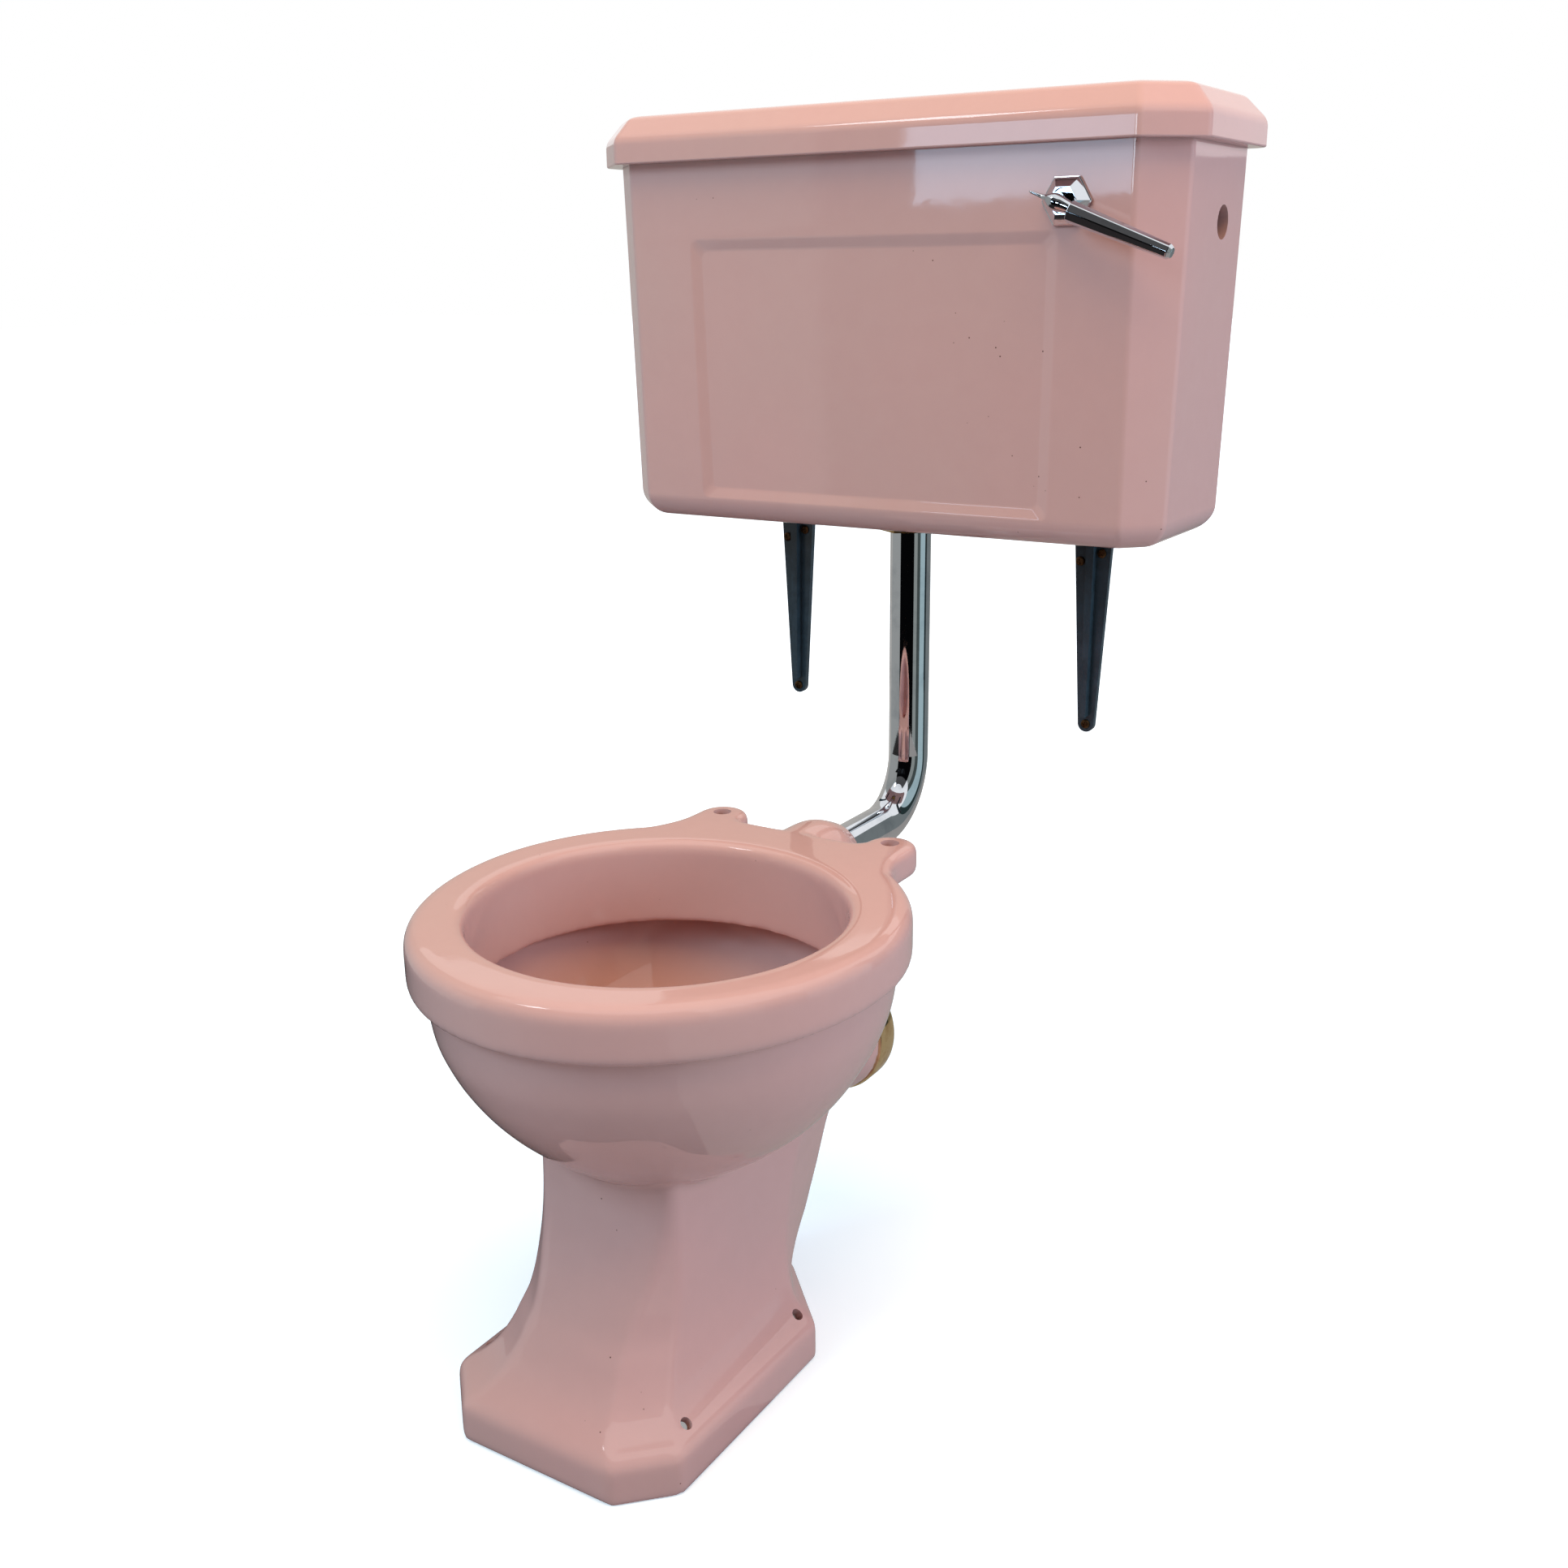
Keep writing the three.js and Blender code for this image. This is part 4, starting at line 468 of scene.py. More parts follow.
OPEN_HALF, OPEN_FRONT, OPEN_REAR, OPEN_MIDDLE, OPEN_EDGE = 148, -365, -71, -215, 9
SKIRT_Z, SKIRT_WALL = 327, 9
INSIDE_Z, INSIDE_HALF, INSIDE_FRONT, INSIDE_REAR, INSIDE_MIDDLE = (50, 388), 170, -393, -27, -215
INSIDE_ROWS = [
    # height, reach to the front, reach to the rear, half width, as shares
    (0, 0.06, 0.12, 0.08),
    (0.03, 0.15, 0.2, 0.19),
    (0.15, 0.21, 0.235, 0.245),
    (0.325, 0.264, 0.282, 0.282),
    (0.4, 0.309, 0.314, 0.329),
    (0.444, 0.388, 0.367, 0.412),
    (0.5, 0.53, 0.49, 0.565),
    (0.57, 0.685, 0.67, 0.705),
    (0.651, 0.826, 0.835, 0.829),
    (0.75, 0.93, 0.945, 0.92),
    (0.86, 0.985, 0.995, 0.98),
    (1, 1, 1, 1),
]
TRAP_RADIUS, TRAP_WALL = 34, 10
TRAP_PATH = [
    # y, z
    (-211, 92), (-165, 80), (-128, 92), (-104, 128), (-90, 168), (-64, 203), (-24, 208), (12, 196),
    (40, OUTLET_Z),
]
# A turned piece's rows are distance along its line and radius.
SPIGOT_ROWS = [(-45, 52), (5, 52), (34, 58), (37, 58), (37, 51), (62, 51)]
SPIGOT_BORE, SPIGOT_BORE_YS = 42, (4, 70)
HORN_START = (-45, 39)
HORN_ROWS = [(8, 39), (17, 38.8), (26, 38), (34, 35.8), (41, 33), (46, 31), (50, 29.6), (52, 28)]
HORN_BORE, HORN_BORE_YS = 23, (-40, 60)
SEAT_X, SEAT_HOLE, SEAT_HOLE_ZS = 86, 8, (360, 410)
LUG, LUG_DEPTH, LUG_EDGE = 23, 28, 7
LUG_SHOULDER, LUG_NECK, LUG_INNER = 132, 109, 48
LUG_FRONT, LUG_BEND, LUG_TURN, LUG_WAIST, LUG_WEB = -110, -80, -45, -20, -10
FOOT_HOLE, FOOT_HOLE_X, FOOT_HOLE_Z, FOOT_HOLE_YS = 5, 97, 42, (-332, -173)
FOOT_HOLE_SLANT, FOOT_HOLE_REACH = (0.59, 0.81), 20
HOLLOW_SHARES, HOLLOW_START, SUMP_SHARE = (0.158, 0.72), -2, 0.5
SKIN_VOXEL, SKIN_ROUNDS = 2.6, 10


def egg_rows(rows, heights, half, front, rear, middle, grow=0.0):
    """Egg rings for a table of shares."""
    return [egg(mix(*heights, h), half * w + grow, middle - (middle - front) * f - grow,
                middle + (rear - middle) * r + grow, middle) for h, f, r, w in rows]


def foot_ring(row, z, inset=0.0):
    """The eight-sided outline of the pedestal at one height."""
    _, spread, front, chamfer_share, side_rear, lean = row
    chamfer = max(FOOT_CHAMFER * chamfer_share - inset * CHAMFER_SHARE, 0)
    half = mix(WAIST_HALF, FOOT_HALF, spread) - inset
    front_y = mix(WAIST_FRONT, FOOT_FRONT + FOOT_CHAMFER, front) - FOOT_CHAMFER * chamfer_share + inset
    side_y = mix(WAIST_SIDE_REAR, FOOT_SIDE_REAR, side_rear) - inset * REAR_SHARE
    rear_y = mix(FOOT_REAR, WAIST_REAR, lean) - inset
    rear_half = REAR_HALF - inset * REAR_SHARE
    right = [(half - chamfer, front_y), (half, front_y + chamfer), (half, side_y), (rear_half, rear_y)]
    left = [(-x, y) for x, y in reversed(right)]
    return flat(rounded([(x, y, FOOT_CORNER) for x, y in right + left], 6), z)


def lug_outline(inset):
    """The plate at the rear of the rim that carries the seat holes, its right half and then its left one."""
    def curve(a, b, c, steps=14):
        t = np.linspace(0, 1, steps)[1:, None]
        a, b, c = (np.array(p, dtype=float) for p in (a, b, c))
        return [tuple(p) for p in (1 - t) ** 2 * a + 2 * t * (1 - t) * b + t * t * c]

    def arc(x, radius, steps=24):
        return [(x + radius * math.cos(a), radius * math.sin(a)) for a in np.linspace(0, math.pi, steps)[1:]]

    shoulder, neck, inner = LUG_SHOULDER - inset, LUG_NECK - inset, SEAT_X - LUG + inset
    web = LUG_WEB - inset
    out = [(shoulder, LUG_FRONT), (shoulder, LUG_BEND)]
    out += curve((shoulder, LUG_BEND), (neck, LUG_TURN), (neck, LUG_WAIST))
    out += curve((neck, LUG_WAIST), (neck, 0), (SEAT_X + LUG - inset, 0))
    out += arc(SEAT_X, LUG - inset)
    out += curve((inner, 0), (inner, web), (LUG_INNER, web))
    left = [(-x, y) for x, y in reversed(out)]
    return out + left


def swept(name, path, radius, sides=48, steps=60):
    """A round body along a smooth path in the middle plane."""
    path = np.asarray(path, dtype=float)
    along = np.concatenate([[0], np.cumsum(np.linalg.norm(np.diff(path, axis=0), axis=1))])
    at = np.linspace(0, along[-1], steps)
    line = np.column_stack([smooth_through(along, path[:, c], at) for c in (0, 1)])
    tangent = np.gradient(line, axis=0)
    tangent /= np.linalg.norm(tangent, axis=1)[:, None]
    rings = []
    for (y, z), (ty, tz) in zip(line, tangent):
        rings.append([(radius * math.cos(a), y - tz * radius * math.sin(a), z + ty * radius * math.sin(a))
                      for a in circle(sides)])
    return loft(name, rings)


def pan_outside():
    rim_rows = under_edge(RIM_Z - RIM_DEPTH, RIM_FOOT, 4) + upper_edge(RIM_Z, RIM_EDGE, 10)
    rim = loft("pan_shell", [egg(z, RIM_HALF - i, RIM_FRONT + i, RIM_REAR - i, RIM_MIDDLE)
                             for z, i in rim_rows])
    lug_rows = under_edge(RIM_Z - LUG_DEPTH, LUG_EDGE, 6) + upper_edge(RIM_Z, LUG_EDGE, 6)
    lugs = loft("lugs", [flat(lug_outline(i), z) for z, i in lug_rows])
    bowl = loft("bowl", egg_rows(finer(BOWL_ROWS, 48), BOWL_Z, BOWL_HALF, BOWL_FRONT, BOWL_REAR, RIM_MIDDLE))
    foot = loft("foot", [foot_ring(row, row[0] * FOOT_TOP) for row in finer(FOOT_ROWS, 90)]
                + [foot_ring(FOOT_ROWS[-1], FOOT_HEAD)])
    spigot = turned("spigot", SPIGOT_ROWS, (0, 0, OUTLET_Z), TO_WALL, 96)
    horn_rows = [HORN_START] + [tuple(row) for row in finer(HORN_ROWS, 24)]
    horn = turned("horn", horn_rows, (0, 0, HORN_Z), TO_WALL, 72)
    return join(rim, lugs, bowl, foot, swept("trap", TRAP_PATH, TRAP_RADIUS + TRAP_WALL), spigot, horn)


def pan_hollow(inside_rows):
    """The open space inside the foot, round the sump and the trap."""
    low, high = HOLLOW_SHARES
    under = [row for row in finer(FOOT_ROWS, 90) if low < row[0] < high]
    hollow = loft("hollow", [foot_ring(FOOT_ROWS[0], HOLLOW_START, WALL)]
                  + [foot_ring(row, row[0] * FOOT_TOP, WALL) for row in under])
    sump_rows = [row for row in inside_rows if row[0] < SUMP_SHARE]
    sump = egg_rows(sump_rows, INSIDE_Z, INSIDE_HALF, INSIDE_FRONT, INSIDE_REAR, INSIDE_MIDDLE, WALL)
    sump[0][:, 2] = INSIDE_Z[0] - WALL
    return cut(hollow, swept("trap_wall", TRAP_PATH, TRAP_RADIUS + TRAP_WALL), loft("sump", sump))


def pan_space(inside_rows):
    """The room inside the bowl, less the skirt that hangs from the rim."""
    space = egg_rows(inside_rows, INSIDE_Z, INSIDE_HALF, INSIDE_FRONT, INSIDE_REAR, INSIDE_MIDDLE)
    skirt = loft("skirt", [opening(SKIRT_Z, SKIRT_WALL), opening(RIM_Z, SKIRT_WALL)])
    return cut(loft("bowl_space", space), skirt)


def opening(z, grow):
    return egg(z, OPEN_HALF + grow, OPEN_FRONT - grow, OPEN_REAR + grow, OPEN_MIDDLE)


def pan_bores():
    outlet, horn = ([(0, y, z) for y in ys] for z, ys in ((OUTLET_Z, SPIGOT_BORE_YS), (HORN_Z, HORN_BORE_YS)))
    bores = [rod("bore", *outlet, SPIGOT_BORE, 96), rod("bore", *horn, HORN_BORE, 64)]
    for side in (-1, 1):
        low, high = ((side * SEAT_X, 0, z) for z in SEAT_HOLE_ZS)
        bores.append(rod("bore", low, high, SEAT_HOLE, 40))
        for y in FOOT_HOLE_YS:
            middle = np.array([side * FOOT_HOLE_X, y, FOOT_HOLE_Z], dtype=float)
            reach = np.array([side * FOOT_HOLE_SLANT[0], 0, FOOT_HOLE_SLANT[1]]) * FOOT_HOLE_REACH
            bores.append(rod("bore", middle - reach, middle + reach, FOOT_HOLE, 28))
    return bores


def make_pan():
    shell = pan_outside()
    inside_rows = finer(INSIDE_ROWS, 70)
    hollow = pan_hollow(inside_rows)
    mouth = [opening(SKIRT_Z - 2, 0)]
    mouth += [opening(z, grow) for z, grow in upper_edge(RIM_Z, OPEN_EDGE, 8)]
    mouth.append(opening(RIM_Z + 2, OPEN_EDGE))
    cut(shell, hollow, pan_space(inside_rows), loft("mouth", mouth), swept("trap_bore", TRAP_PATH, TRAP_RADIUS))
    soften(shell, SKIN_VOXEL, SKIN_ROUNDS)
    cut(shell, *pan_bores())
    shell.name = "pan_glazed"
    shade(shell, 40, weighted=False)
    return place(shell, "set", "glaze", "pan")


# Cistern

BODY_Z, BODY_HALF, BODY_FRONT, BODY_BACK = (644, 960), (264.5, 272.5), (107, 99), 270
BODY_CHAMFER, BODY_CORNER, BODY_BOTTOM = (28.5, 33), 9, 22
BODY_WALL, BODY_FLOOR = 10, 12
BODY_INSIDE_ROWS = [
    # height over the bottom, inset past the wall
    (12, 11), (16, 5), (23, 0),
]
PANEL_Z, PANEL_SHARE, PANEL_BEVEL, PANEL_DEPTH = (664, 895), 0.655, 12, 3
PANEL_CORNER, PANEL_START, PANEL_STEPS, PANEL_EASE = 7, -5, 15, 5
PIPE_Y = 195
WELL, WELL_DEPTH, BOSS_START = 48, 25, 6
UNDER_BODY = 640
SIPHON_HOLE, SIPHON_HOLE_TOP = 26, 690
SIDE_Y, SIDE_Z, SIDE_HOLE = 214.5, 900, 13.5
LEVER_X, LEVER_Z, LEVER_HOLE, LEVER_HOLE_YS = 184, 915.5, 10, (90, 118)
PAST = 2
TOP_Z = 1001
LID_LIFT, LID_BAND, LID_SOFT, LID_EDGE = -1.2, 21, 2, 1.6
LID_BEVEL, LID_CROWN, LID_ROUND = 17.5, 0.6, 15
LID_PROUD, LID_PROUD_REAR = 14, 5
LID_BAND_EASE, LID_TOP_EASE = 2.6, 3
LID_GAP, LID_SEAT_GAP, LID_LIP, LID_LIP_DEPTH, LID_WALL = 0.4, 0.3, 2, 10, 9


def body_share(z):
    return (z - BODY_Z[0]) / (BODY_Z[1] - BODY_Z[0])


def cistern_ring(z, inset, rear_inset=None, shape_z=None, segments=8):
    """The cistern's outline at one height, or the outline of another height set at this one."""
    share = body_share(z if shape_z is None else shape_z)
    half = mix(*BODY_HALF, share) - inset
    front = mix(*BODY_FRONT, share) + inset
    rear = BODY_BACK - (inset if rear_inset is None else rear_inset)
    chamfer = mix(*BODY_CHAMFER, share) - inset * CHAMFER_SHARE
    right = [(half - chamfer, front), (half, front + chamfer), (half, rear)]
    left = [(-x, y) for x, y in reversed(right)]
    return flat(rounded([(x, y, BODY_CORNER) for x, y in right + left], segments), z)


def panel_ring(inset, depth):
    """The front panel's outline, on the cistern's leaning front face."""
    z0, z1 = PANEL_Z
    points = []
    for side, z in ((1, z0), (1, z1), (-1, z1), (-1, z0)):
        height = z + inset if z == z0 else z - inset
        half = mix(*BODY_HALF, body_share(z)) * PANEL_SHARE - inset
        points.append((side * half, height, PANEL_CORNER))
    return [(x, mix(*BODY_FRONT, body_share(z)) + depth, z) for x, z in rounded(points, 5)]


def sunk_panel():
    """The shallow panel's space. Its slope starts and ends gently."""
    steps = np.linspace(0, 1, PANEL_STEPS)
    slope = np.clip(np.minimum(steps, 1 - steps) * PANEL_EASE, 0, 1)
    sunk = np.concatenate([[0], np.cumsum(slope[1:] + slope[:-1])])
    rings = [panel_ring(PANEL_BEVEL * t, PANEL_DEPTH * d / sunk[-1]) for t, d in zip(steps, sunk)]
    return loft("panel", [panel_ring(0, PANEL_START)] + rings)


def make_cistern():
    bottom, top = BODY_Z
    rings = [cistern_ring(z, inset) for z, inset in under_edge(bottom, BODY_BOTTOM, 14)]
    body = loft("cistern_glazed", rings + [cistern_ring(top, 0)])
    cut(body, sunk_panel())
    w = BODY_WALL
    inside = [cistern_ring(bottom + up, w + inset, w) for up, inset in BODY_INSIDE_ROWS]
    cut(body, loft("inside", inside + [cistern_ring(top + PAST, w, w, top)]))
    ceiling = bottom + WELL_DEPTH
    join(body, rod("boss", (0, PIPE_Y, bottom + BOSS_START), (0, PIPE_Y, ceiling + BODY_FLOOR),
                   WELL + BODY_FLOOR, 96))
    side, (near, far) = BODY_HALF[1] + PAST, LEVER_HOLE_YS
    cut(body,
        rod("well", (0, PIPE_Y, UNDER_BODY), (0, PIPE_Y, ceiling), WELL, 96),
        rod("outlet", (0, PIPE_Y, UNDER_BODY), (0, PIPE_Y, SIPHON_HOLE_TOP), SIPHON_HOLE, 64),
        rod("side", (-side, SIDE_Y, SIDE_Z), (side, SIDE_Y, SIDE_Z), SIDE_HOLE, 48),
        rod("lever_hole", (LEVER_X, near, LEVER_Z), (LEVER_X, far, LEVER_Z), LEVER_HOLE, 40))
    shade(body, 35)
    return place(body, "set", "glaze", "cistern_body")


def lid_rows(bottom):
    """Heights and insets up the lid's outside: edge, band, bevel and top."""
    rows = under_edge(bottom, LID_EDGE, 5)
    corners = [(0, bottom + LID_BAND), (LID_BEVEL, TOP_Z - LID_CROWN), (LID_BEVEL + LID_ROUND, TOP_Z)]
    start, middle, end = (np.array(c, dtype=float) for c in corners)
    slope = (middle - start) / np.linalg.norm(middle - start)

    def bend(a, b, c, steps):
        for t in np.linspace(0, 1, steps):
            rows.append(tuple(reversed((1 - t) ** 2 * a + 2 * t * (1 - t) * b + t * t * c)))

    ease = LID_SOFT * LID_BAND_EASE
    bend(start - np.array([0, ease]), start, start + slope * ease, 7)
    bend(middle - slope * LID_SOFT * LID_TOP_EASE, middle, end, 9)
    return rows


def make_lid():
    bottom, rim = BODY_Z[1] + LID_LIFT, BODY_Z[1]

    def inner(name, inset, rear_inset, low, high):
        return loft(name, [cistern_ring(z, inset, rear_inset, rim) for z in (low, high)])

    lid = loft("lid_glazed", [cistern_ring(z, step - LID_PROUD, step - LID_PROUD_REAR, rim)
                              for z, step in lid_rows(bottom)])
    cut(lid, inner("seat", -LID_GAP, -LID_GAP, bottom - PAST, rim + LID_SEAT_GAP))
    join(lid, inner("lip", BODY_WALL + LID_LIP, None, rim - LID_LIP_DEPTH, rim + PAST))
    cut(lid, inner("hollow", BODY_WALL + LID_WALL, None, rim - LID_LIP_DEPTH - PAST, TOP_Z - LID_LIP_DEPTH))
    shade(lid, 35)
    return place(lid, "lid", "glaze", "cistern_lid")


# Flush pipe, its seal and the outlet collar

PIPE_RADIUS, PIPE_BORE = 19, 17
SEAL_ROWS = [(22, 22.7), (47.4, 22.7), (48.6, 22.2), (49, 21.2), (48.6, 20), (47.6, 19.3), (22, 19.3)]
COLLAR_BORE, COLLAR_RADIUS, COLLAR_BACK, COLLAR_FACE, COLLAR_ROUND = 51.3, 60, 37.3, 65, 7
COLLAR_EDGE_ROWS = [(0, -1.8), (0.6, -0.6), (1.8, 0)]
COLLAR_CHAMFER = 0.6


def make_pipe():
    bend, end_y, top_z = 60, 18, 658

    def rings(radius):
        angles = circle(48)
        out = []
        stations = [((0, PIPE_Y, z), (0, 1, 0)) for z in np.linspace(top_z, HORN_Z + bend, 4)[:-1]]
        for a in quarter(24):
            outward = (0, math.cos(a), -math.sin(a))
            centre = (0, PIPE_Y - bend + bend * outward[1], HORN_Z + bend + bend * outward[2])
            stations.append((centre, outward))
        stations += [((0, y, HORN_Z), (0, 0, -1)) for y in np.linspace(PIPE_Y - bend, end_y, 4)[1:]]
        for centre, outward in stations:
            out.append(np.array(centre) + radius * (np.outer(np.cos(angles), outward)
                                                    + np.outer(np.sin(angles), (1, 0, 0))))
        return out

    pipe = loft("flush_pipe_polished", rings(PIPE_RADIUS) + list(reversed(rings(PIPE_BORE))), closed=True)
    shade(pipe, 40, weighted=False)
    return place(pipe, "set", "chrome", "flush_pipe")


def make_seal():
    seal = turned("pipe_seal_soft", SEAL_ROWS, (0, 0, HORN_Z), TO_WALL, 64, closed=True)
    shade(seal, 40, weighted=False)
    return place(seal, "set", "rubber", "flush_pipe_seal")


def make_collar():
    r = COLLAR_ROUND
    profile = [(COLLAR_BACK, COLLAR_BORE)]
    profile += [(COLLAR_BACK + along, COLLAR_RADIUS + out) for along, out in COLLAR_EDGE_ROWS]
    profile += [(COLLAR_FACE - r + r * math.sin(a), COLLAR_RADIUS - r + r * math.cos(a)) for a in quarter(10)]
    profile += [(COLLAR_FACE, COLLAR_BORE + COLLAR_CHAMFER), (COLLAR_FACE - COLLAR_CHAMFER, COLLAR_BORE)]
    collar = turned("collar_polished", profile, (0, 0, OUTLET_Z), TO_WALL, 96, closed=True)
    shade(collar, 40, weighted=False)
    return place(collar, "set", "polished_brass", "outlet_collar")


# Lever

LEVER_FACE = mix(*BODY_FRONT, body_share(LEVER_Z))
ESCUTCHEON_BACK = LEVER_FACE - 0.7
ESCUTCHEON_ROWS = [(0, 21), (2, 21), (2.4, 20), (10, 12), (10, 0)]
ESCUTCHEON_BORE, ESCUTCHEON_BORE_START = 9.8, 14
GRIP_DROP = math.radians(21)
LEVER_PLANE, HUB_DROP = 78, 1.5
HUB_RADIUS, FINIAL_LENGTH = 6.6, 24.5
FINIAL_ROWS = [
    # distance as a share of the finial's length, radius as a share of the hub's
    (0, 0.03), (0.05, 0.15), (0.27, 0.2), (0.45, 0.26), (0.58, 0.4), (0.7, 0.68), (0.82, 0.9),
    (0.94, 1), (1.08, 0.98), (1.26, 0.86), (1.45, 0.74), (1.6, 0.7),
]
GRIP_ROWS, GRIP_START, GRIP_OFFSET = [(0, 8.5), (86, 6), (89, 4)], 13, 2.3
NECK_RADIUS, NECK_BACK = 6.4, 10.3
SOCKET_RADIUS, SOCKET_DEPTH = 5.3, 8


def make_escutcheon():
    piece = turned("escutcheon_polished", ESCUTCHEON_ROWS, (LEVER_X, ESCUTCHEON_BACK, LEVER_Z), TO_FRONT, 6)
    front = (LEVER_X, ESCUTCHEON_BACK - ESCUTCHEON_BORE_START, LEVER_Z)
    back = (LEVER_X, LEVER_FACE + PAST, LEVER_Z)
    cut(piece, rod("bore", front, back, ESCUTCHEON_BORE, 48))
    bevel(piece, 0.5, 2, 20)
    shade(piece, 30)
    return place(piece, "set", "chrome", "lever_escutcheon")


def make_lever():
    axis = np.array([math.cos(GRIP_DROP), 0, -math.sin(GRIP_DROP)])
    across = np.array([-math.sin(GRIP_DROP), 0, -math.cos(GRIP_DROP)])
    hub = np.array([LEVER_X, LEVER_PLANE, LEVER_Z - HUB_DROP])
    profile = [(a * FINIAL_LENGTH, r * HUB_RADIUS) for a, r in finer(FINIAL_ROWS, 60)]
    lever = turned("lever_polished", profile, hub - axis * FINIAL_LENGTH, axis, 48)
    grip = turned("grip", GRIP_ROWS, hub + axis * GRIP_START + across * GRIP_OFFSET, axis, 8)
    bevel(grip, 0.7, 3, 15)
    end = ESCUTCHEON_BACK - NECK_BACK
    join(lever, grip, rod("neck", (LEVER_X, LEVER_PLANE, LEVER_Z), (LEVER_X, end, LEVER_Z), NECK_RADIUS, 48))
    front, back = (LEVER_X, end - SOCKET_DEPTH, LEVER_Z), (LEVER_X, end + PAST, LEVER_Z)
    cut(lever, rod("socket", front, back, SOCKET_RADIUS, 32))
    shade(lever, 35)
    return place(lever, "lever", "chrome", "flush_lever")


# Brackets and their screws

SCREW_HEAD, SCREW_RISE, SCREW_EDGE, SCREW_BACK = 4.4, 2.4, 0.6, 269.7
SCREW_SHANK_ROWS = [(-18.3, 0.4), (-15, 1.4), (-10, 2.2), (0, 2.2), (0.001, SCREW_HEAD)]
SCREW_PLACES = ((-11.7, 605.7), (8.9, 614.3), (0, 450.7))
SCREW_TURN, SCREW_TURN_STEP = 17, 31
BRACKET_X, BRACKETS_MIDDLE = 160.3, -9.8
RECESS_ARMS, RECESS_DEPTH = ((2.6, 0.55), (0.55, 2.6)), 1.1


def make_bracket(name):
    """The drawn bracket with its flat faces made whole and its edges rounded."""
    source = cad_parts[f"bracket_{name}"]
    bm = bmesh.new()
    bm.from_mesh(source.data)
    bm.transform(source.matrix_world)
    bmesh.ops.remove_doubles(bm, verts=bm.verts, dist=CAD_WELD)
    bmesh.ops.dissolve_limit(bm, angle_limit=math.radians(2), verts=bm.verts, edges=bm.edges)
    mesh = bpy.data.meshes.new(f"bracket_{name}_cast")
    bm.to_mesh(mesh)
    bm.free()
    obj = bpy.data.objects.new(f"bracket_{name}_cast", mesh)
    bpy.context.scene.collection.objects.link(obj)
    bevel(obj, 1.0, 3, 30)
    shade(obj, 40)
    return place(obj, "set", "iron", f"bracket_{name}")


def cross_recess(x, face, z, turn):
    """The two slots of a cross recess, turned round the screw."""
    slots = []
    for wide, tall in RECESS_ARMS:
        corners = [(wide, tall), (-wide, tall), (-wide, -tall), (wide, -tall)]
        spun = [(a * math.cos(turn) - b * math.sin(turn), a * math.sin(turn) + b * math.cos(turn))
                for a, b in corners]
        depths = (face + RECESS_DEPTH, face - PAST)
        slots.append(loft("recess", [[(x + a, y, z + b) for a, b in spun] for y in depths]))
    return slots


def make_screws():
    """Round-headed screws with a cross recess."""
    dome = [(mix(SCREW_EDGE, SCREW_RISE, math.sin(a)), SCREW_HEAD * math.cos(a) ** 0.5 if a < 1.5 else 0.2)
            for a in quarter(8)]
    for side, name in ((-1, "left"), (1, "right")):
        for i, (dx, z) in enumerate(SCREW_PLACES):
            x = side * BRACKET_X + BRACKETS_MIDDLE + dx
            screw = turned(f"screw_{name}_{i + 1}", SCREW_SHANK_ROWS + dome, (x, SCREW_BACK, z), TO_FRONT, 32)
            turn = math.radians(SCREW_TURN + SCREW_TURN_STEP * i)
            for slot in cross_recess(x, SCREW_BACK - SCREW_RISE, z, turn):
                cut(screw, slot)
            shade(screw, 35)
            place(screw, "set", "screw_brass", f"bracket_screw_{name}_{i + 1}")


# Float ball, pressed from two halves

FLOAT_DROP = math.radians(53)
FLOAT_PIN, FLOAT_REACH, FLOAT_ELBOW, FLOAT_Y = (-212.78, 214.5, 888), 135, 0.3, 188.5
BALL_RADIUS, SEAM_RISE, SEAM_WIDTH = 50, 0.45, 0.035
BALL_BOSS, BALL_BOSS_ENDS = 8, (4, 8)
BALL_BORE, BALL_BORE_ENDS = 3.5, (6, 10.3)


def make_ball():
    pin = np.array(FLOAT_PIN, dtype=float)
    low = np.array([math.cos(FLOAT_DROP), 0, -math.sin(FLOAT_DROP)])
    centre = pin + low * FLOAT_REACH
    centre[1] = FLOAT_Y
    elbow = pin + low * FLOAT_REACH * FLOAT_ELBOW
    run = (centre - elbow) / np.linalg.norm(centre - elbow)
    profile = []
    for a in np.linspace(0.02, math.pi - 0.02, 61):
        bead = SEAM_RISE * math.exp(-((a - math.pi / 2) / SEAM_WIDTH) ** 2)
        r = BALL_RADIUS - SEAM_RISE + bead
        profile.append((-r * math.cos(a), r * math.sin(a)))
    ball = turned("float_ball_pressed", profile, centre, run, 72)
    skin = centre - run * BALL_RADIUS

    def along(name, ends, radius, sides):
        return rod(name, skin - run * ends[0], skin + run * ends[1], radius, sides)

    join(ball, along("boss", BALL_BOSS_ENDS, BALL_BOSS, 40))
    cut(ball, along("bore", BALL_BORE_ENDS, BALL_BORE, 24))
    shade(ball, 40, weighted=False)
    return place(ball, "float", "copper", "float_ball")


make_pan()
make_cistern()
make_lid()
make_pipe()
make_seal()
make_collar()
make_escutcheon()
make_lever()
make_bracket("left")
make_bracket("right")
make_screws()
make_ball()

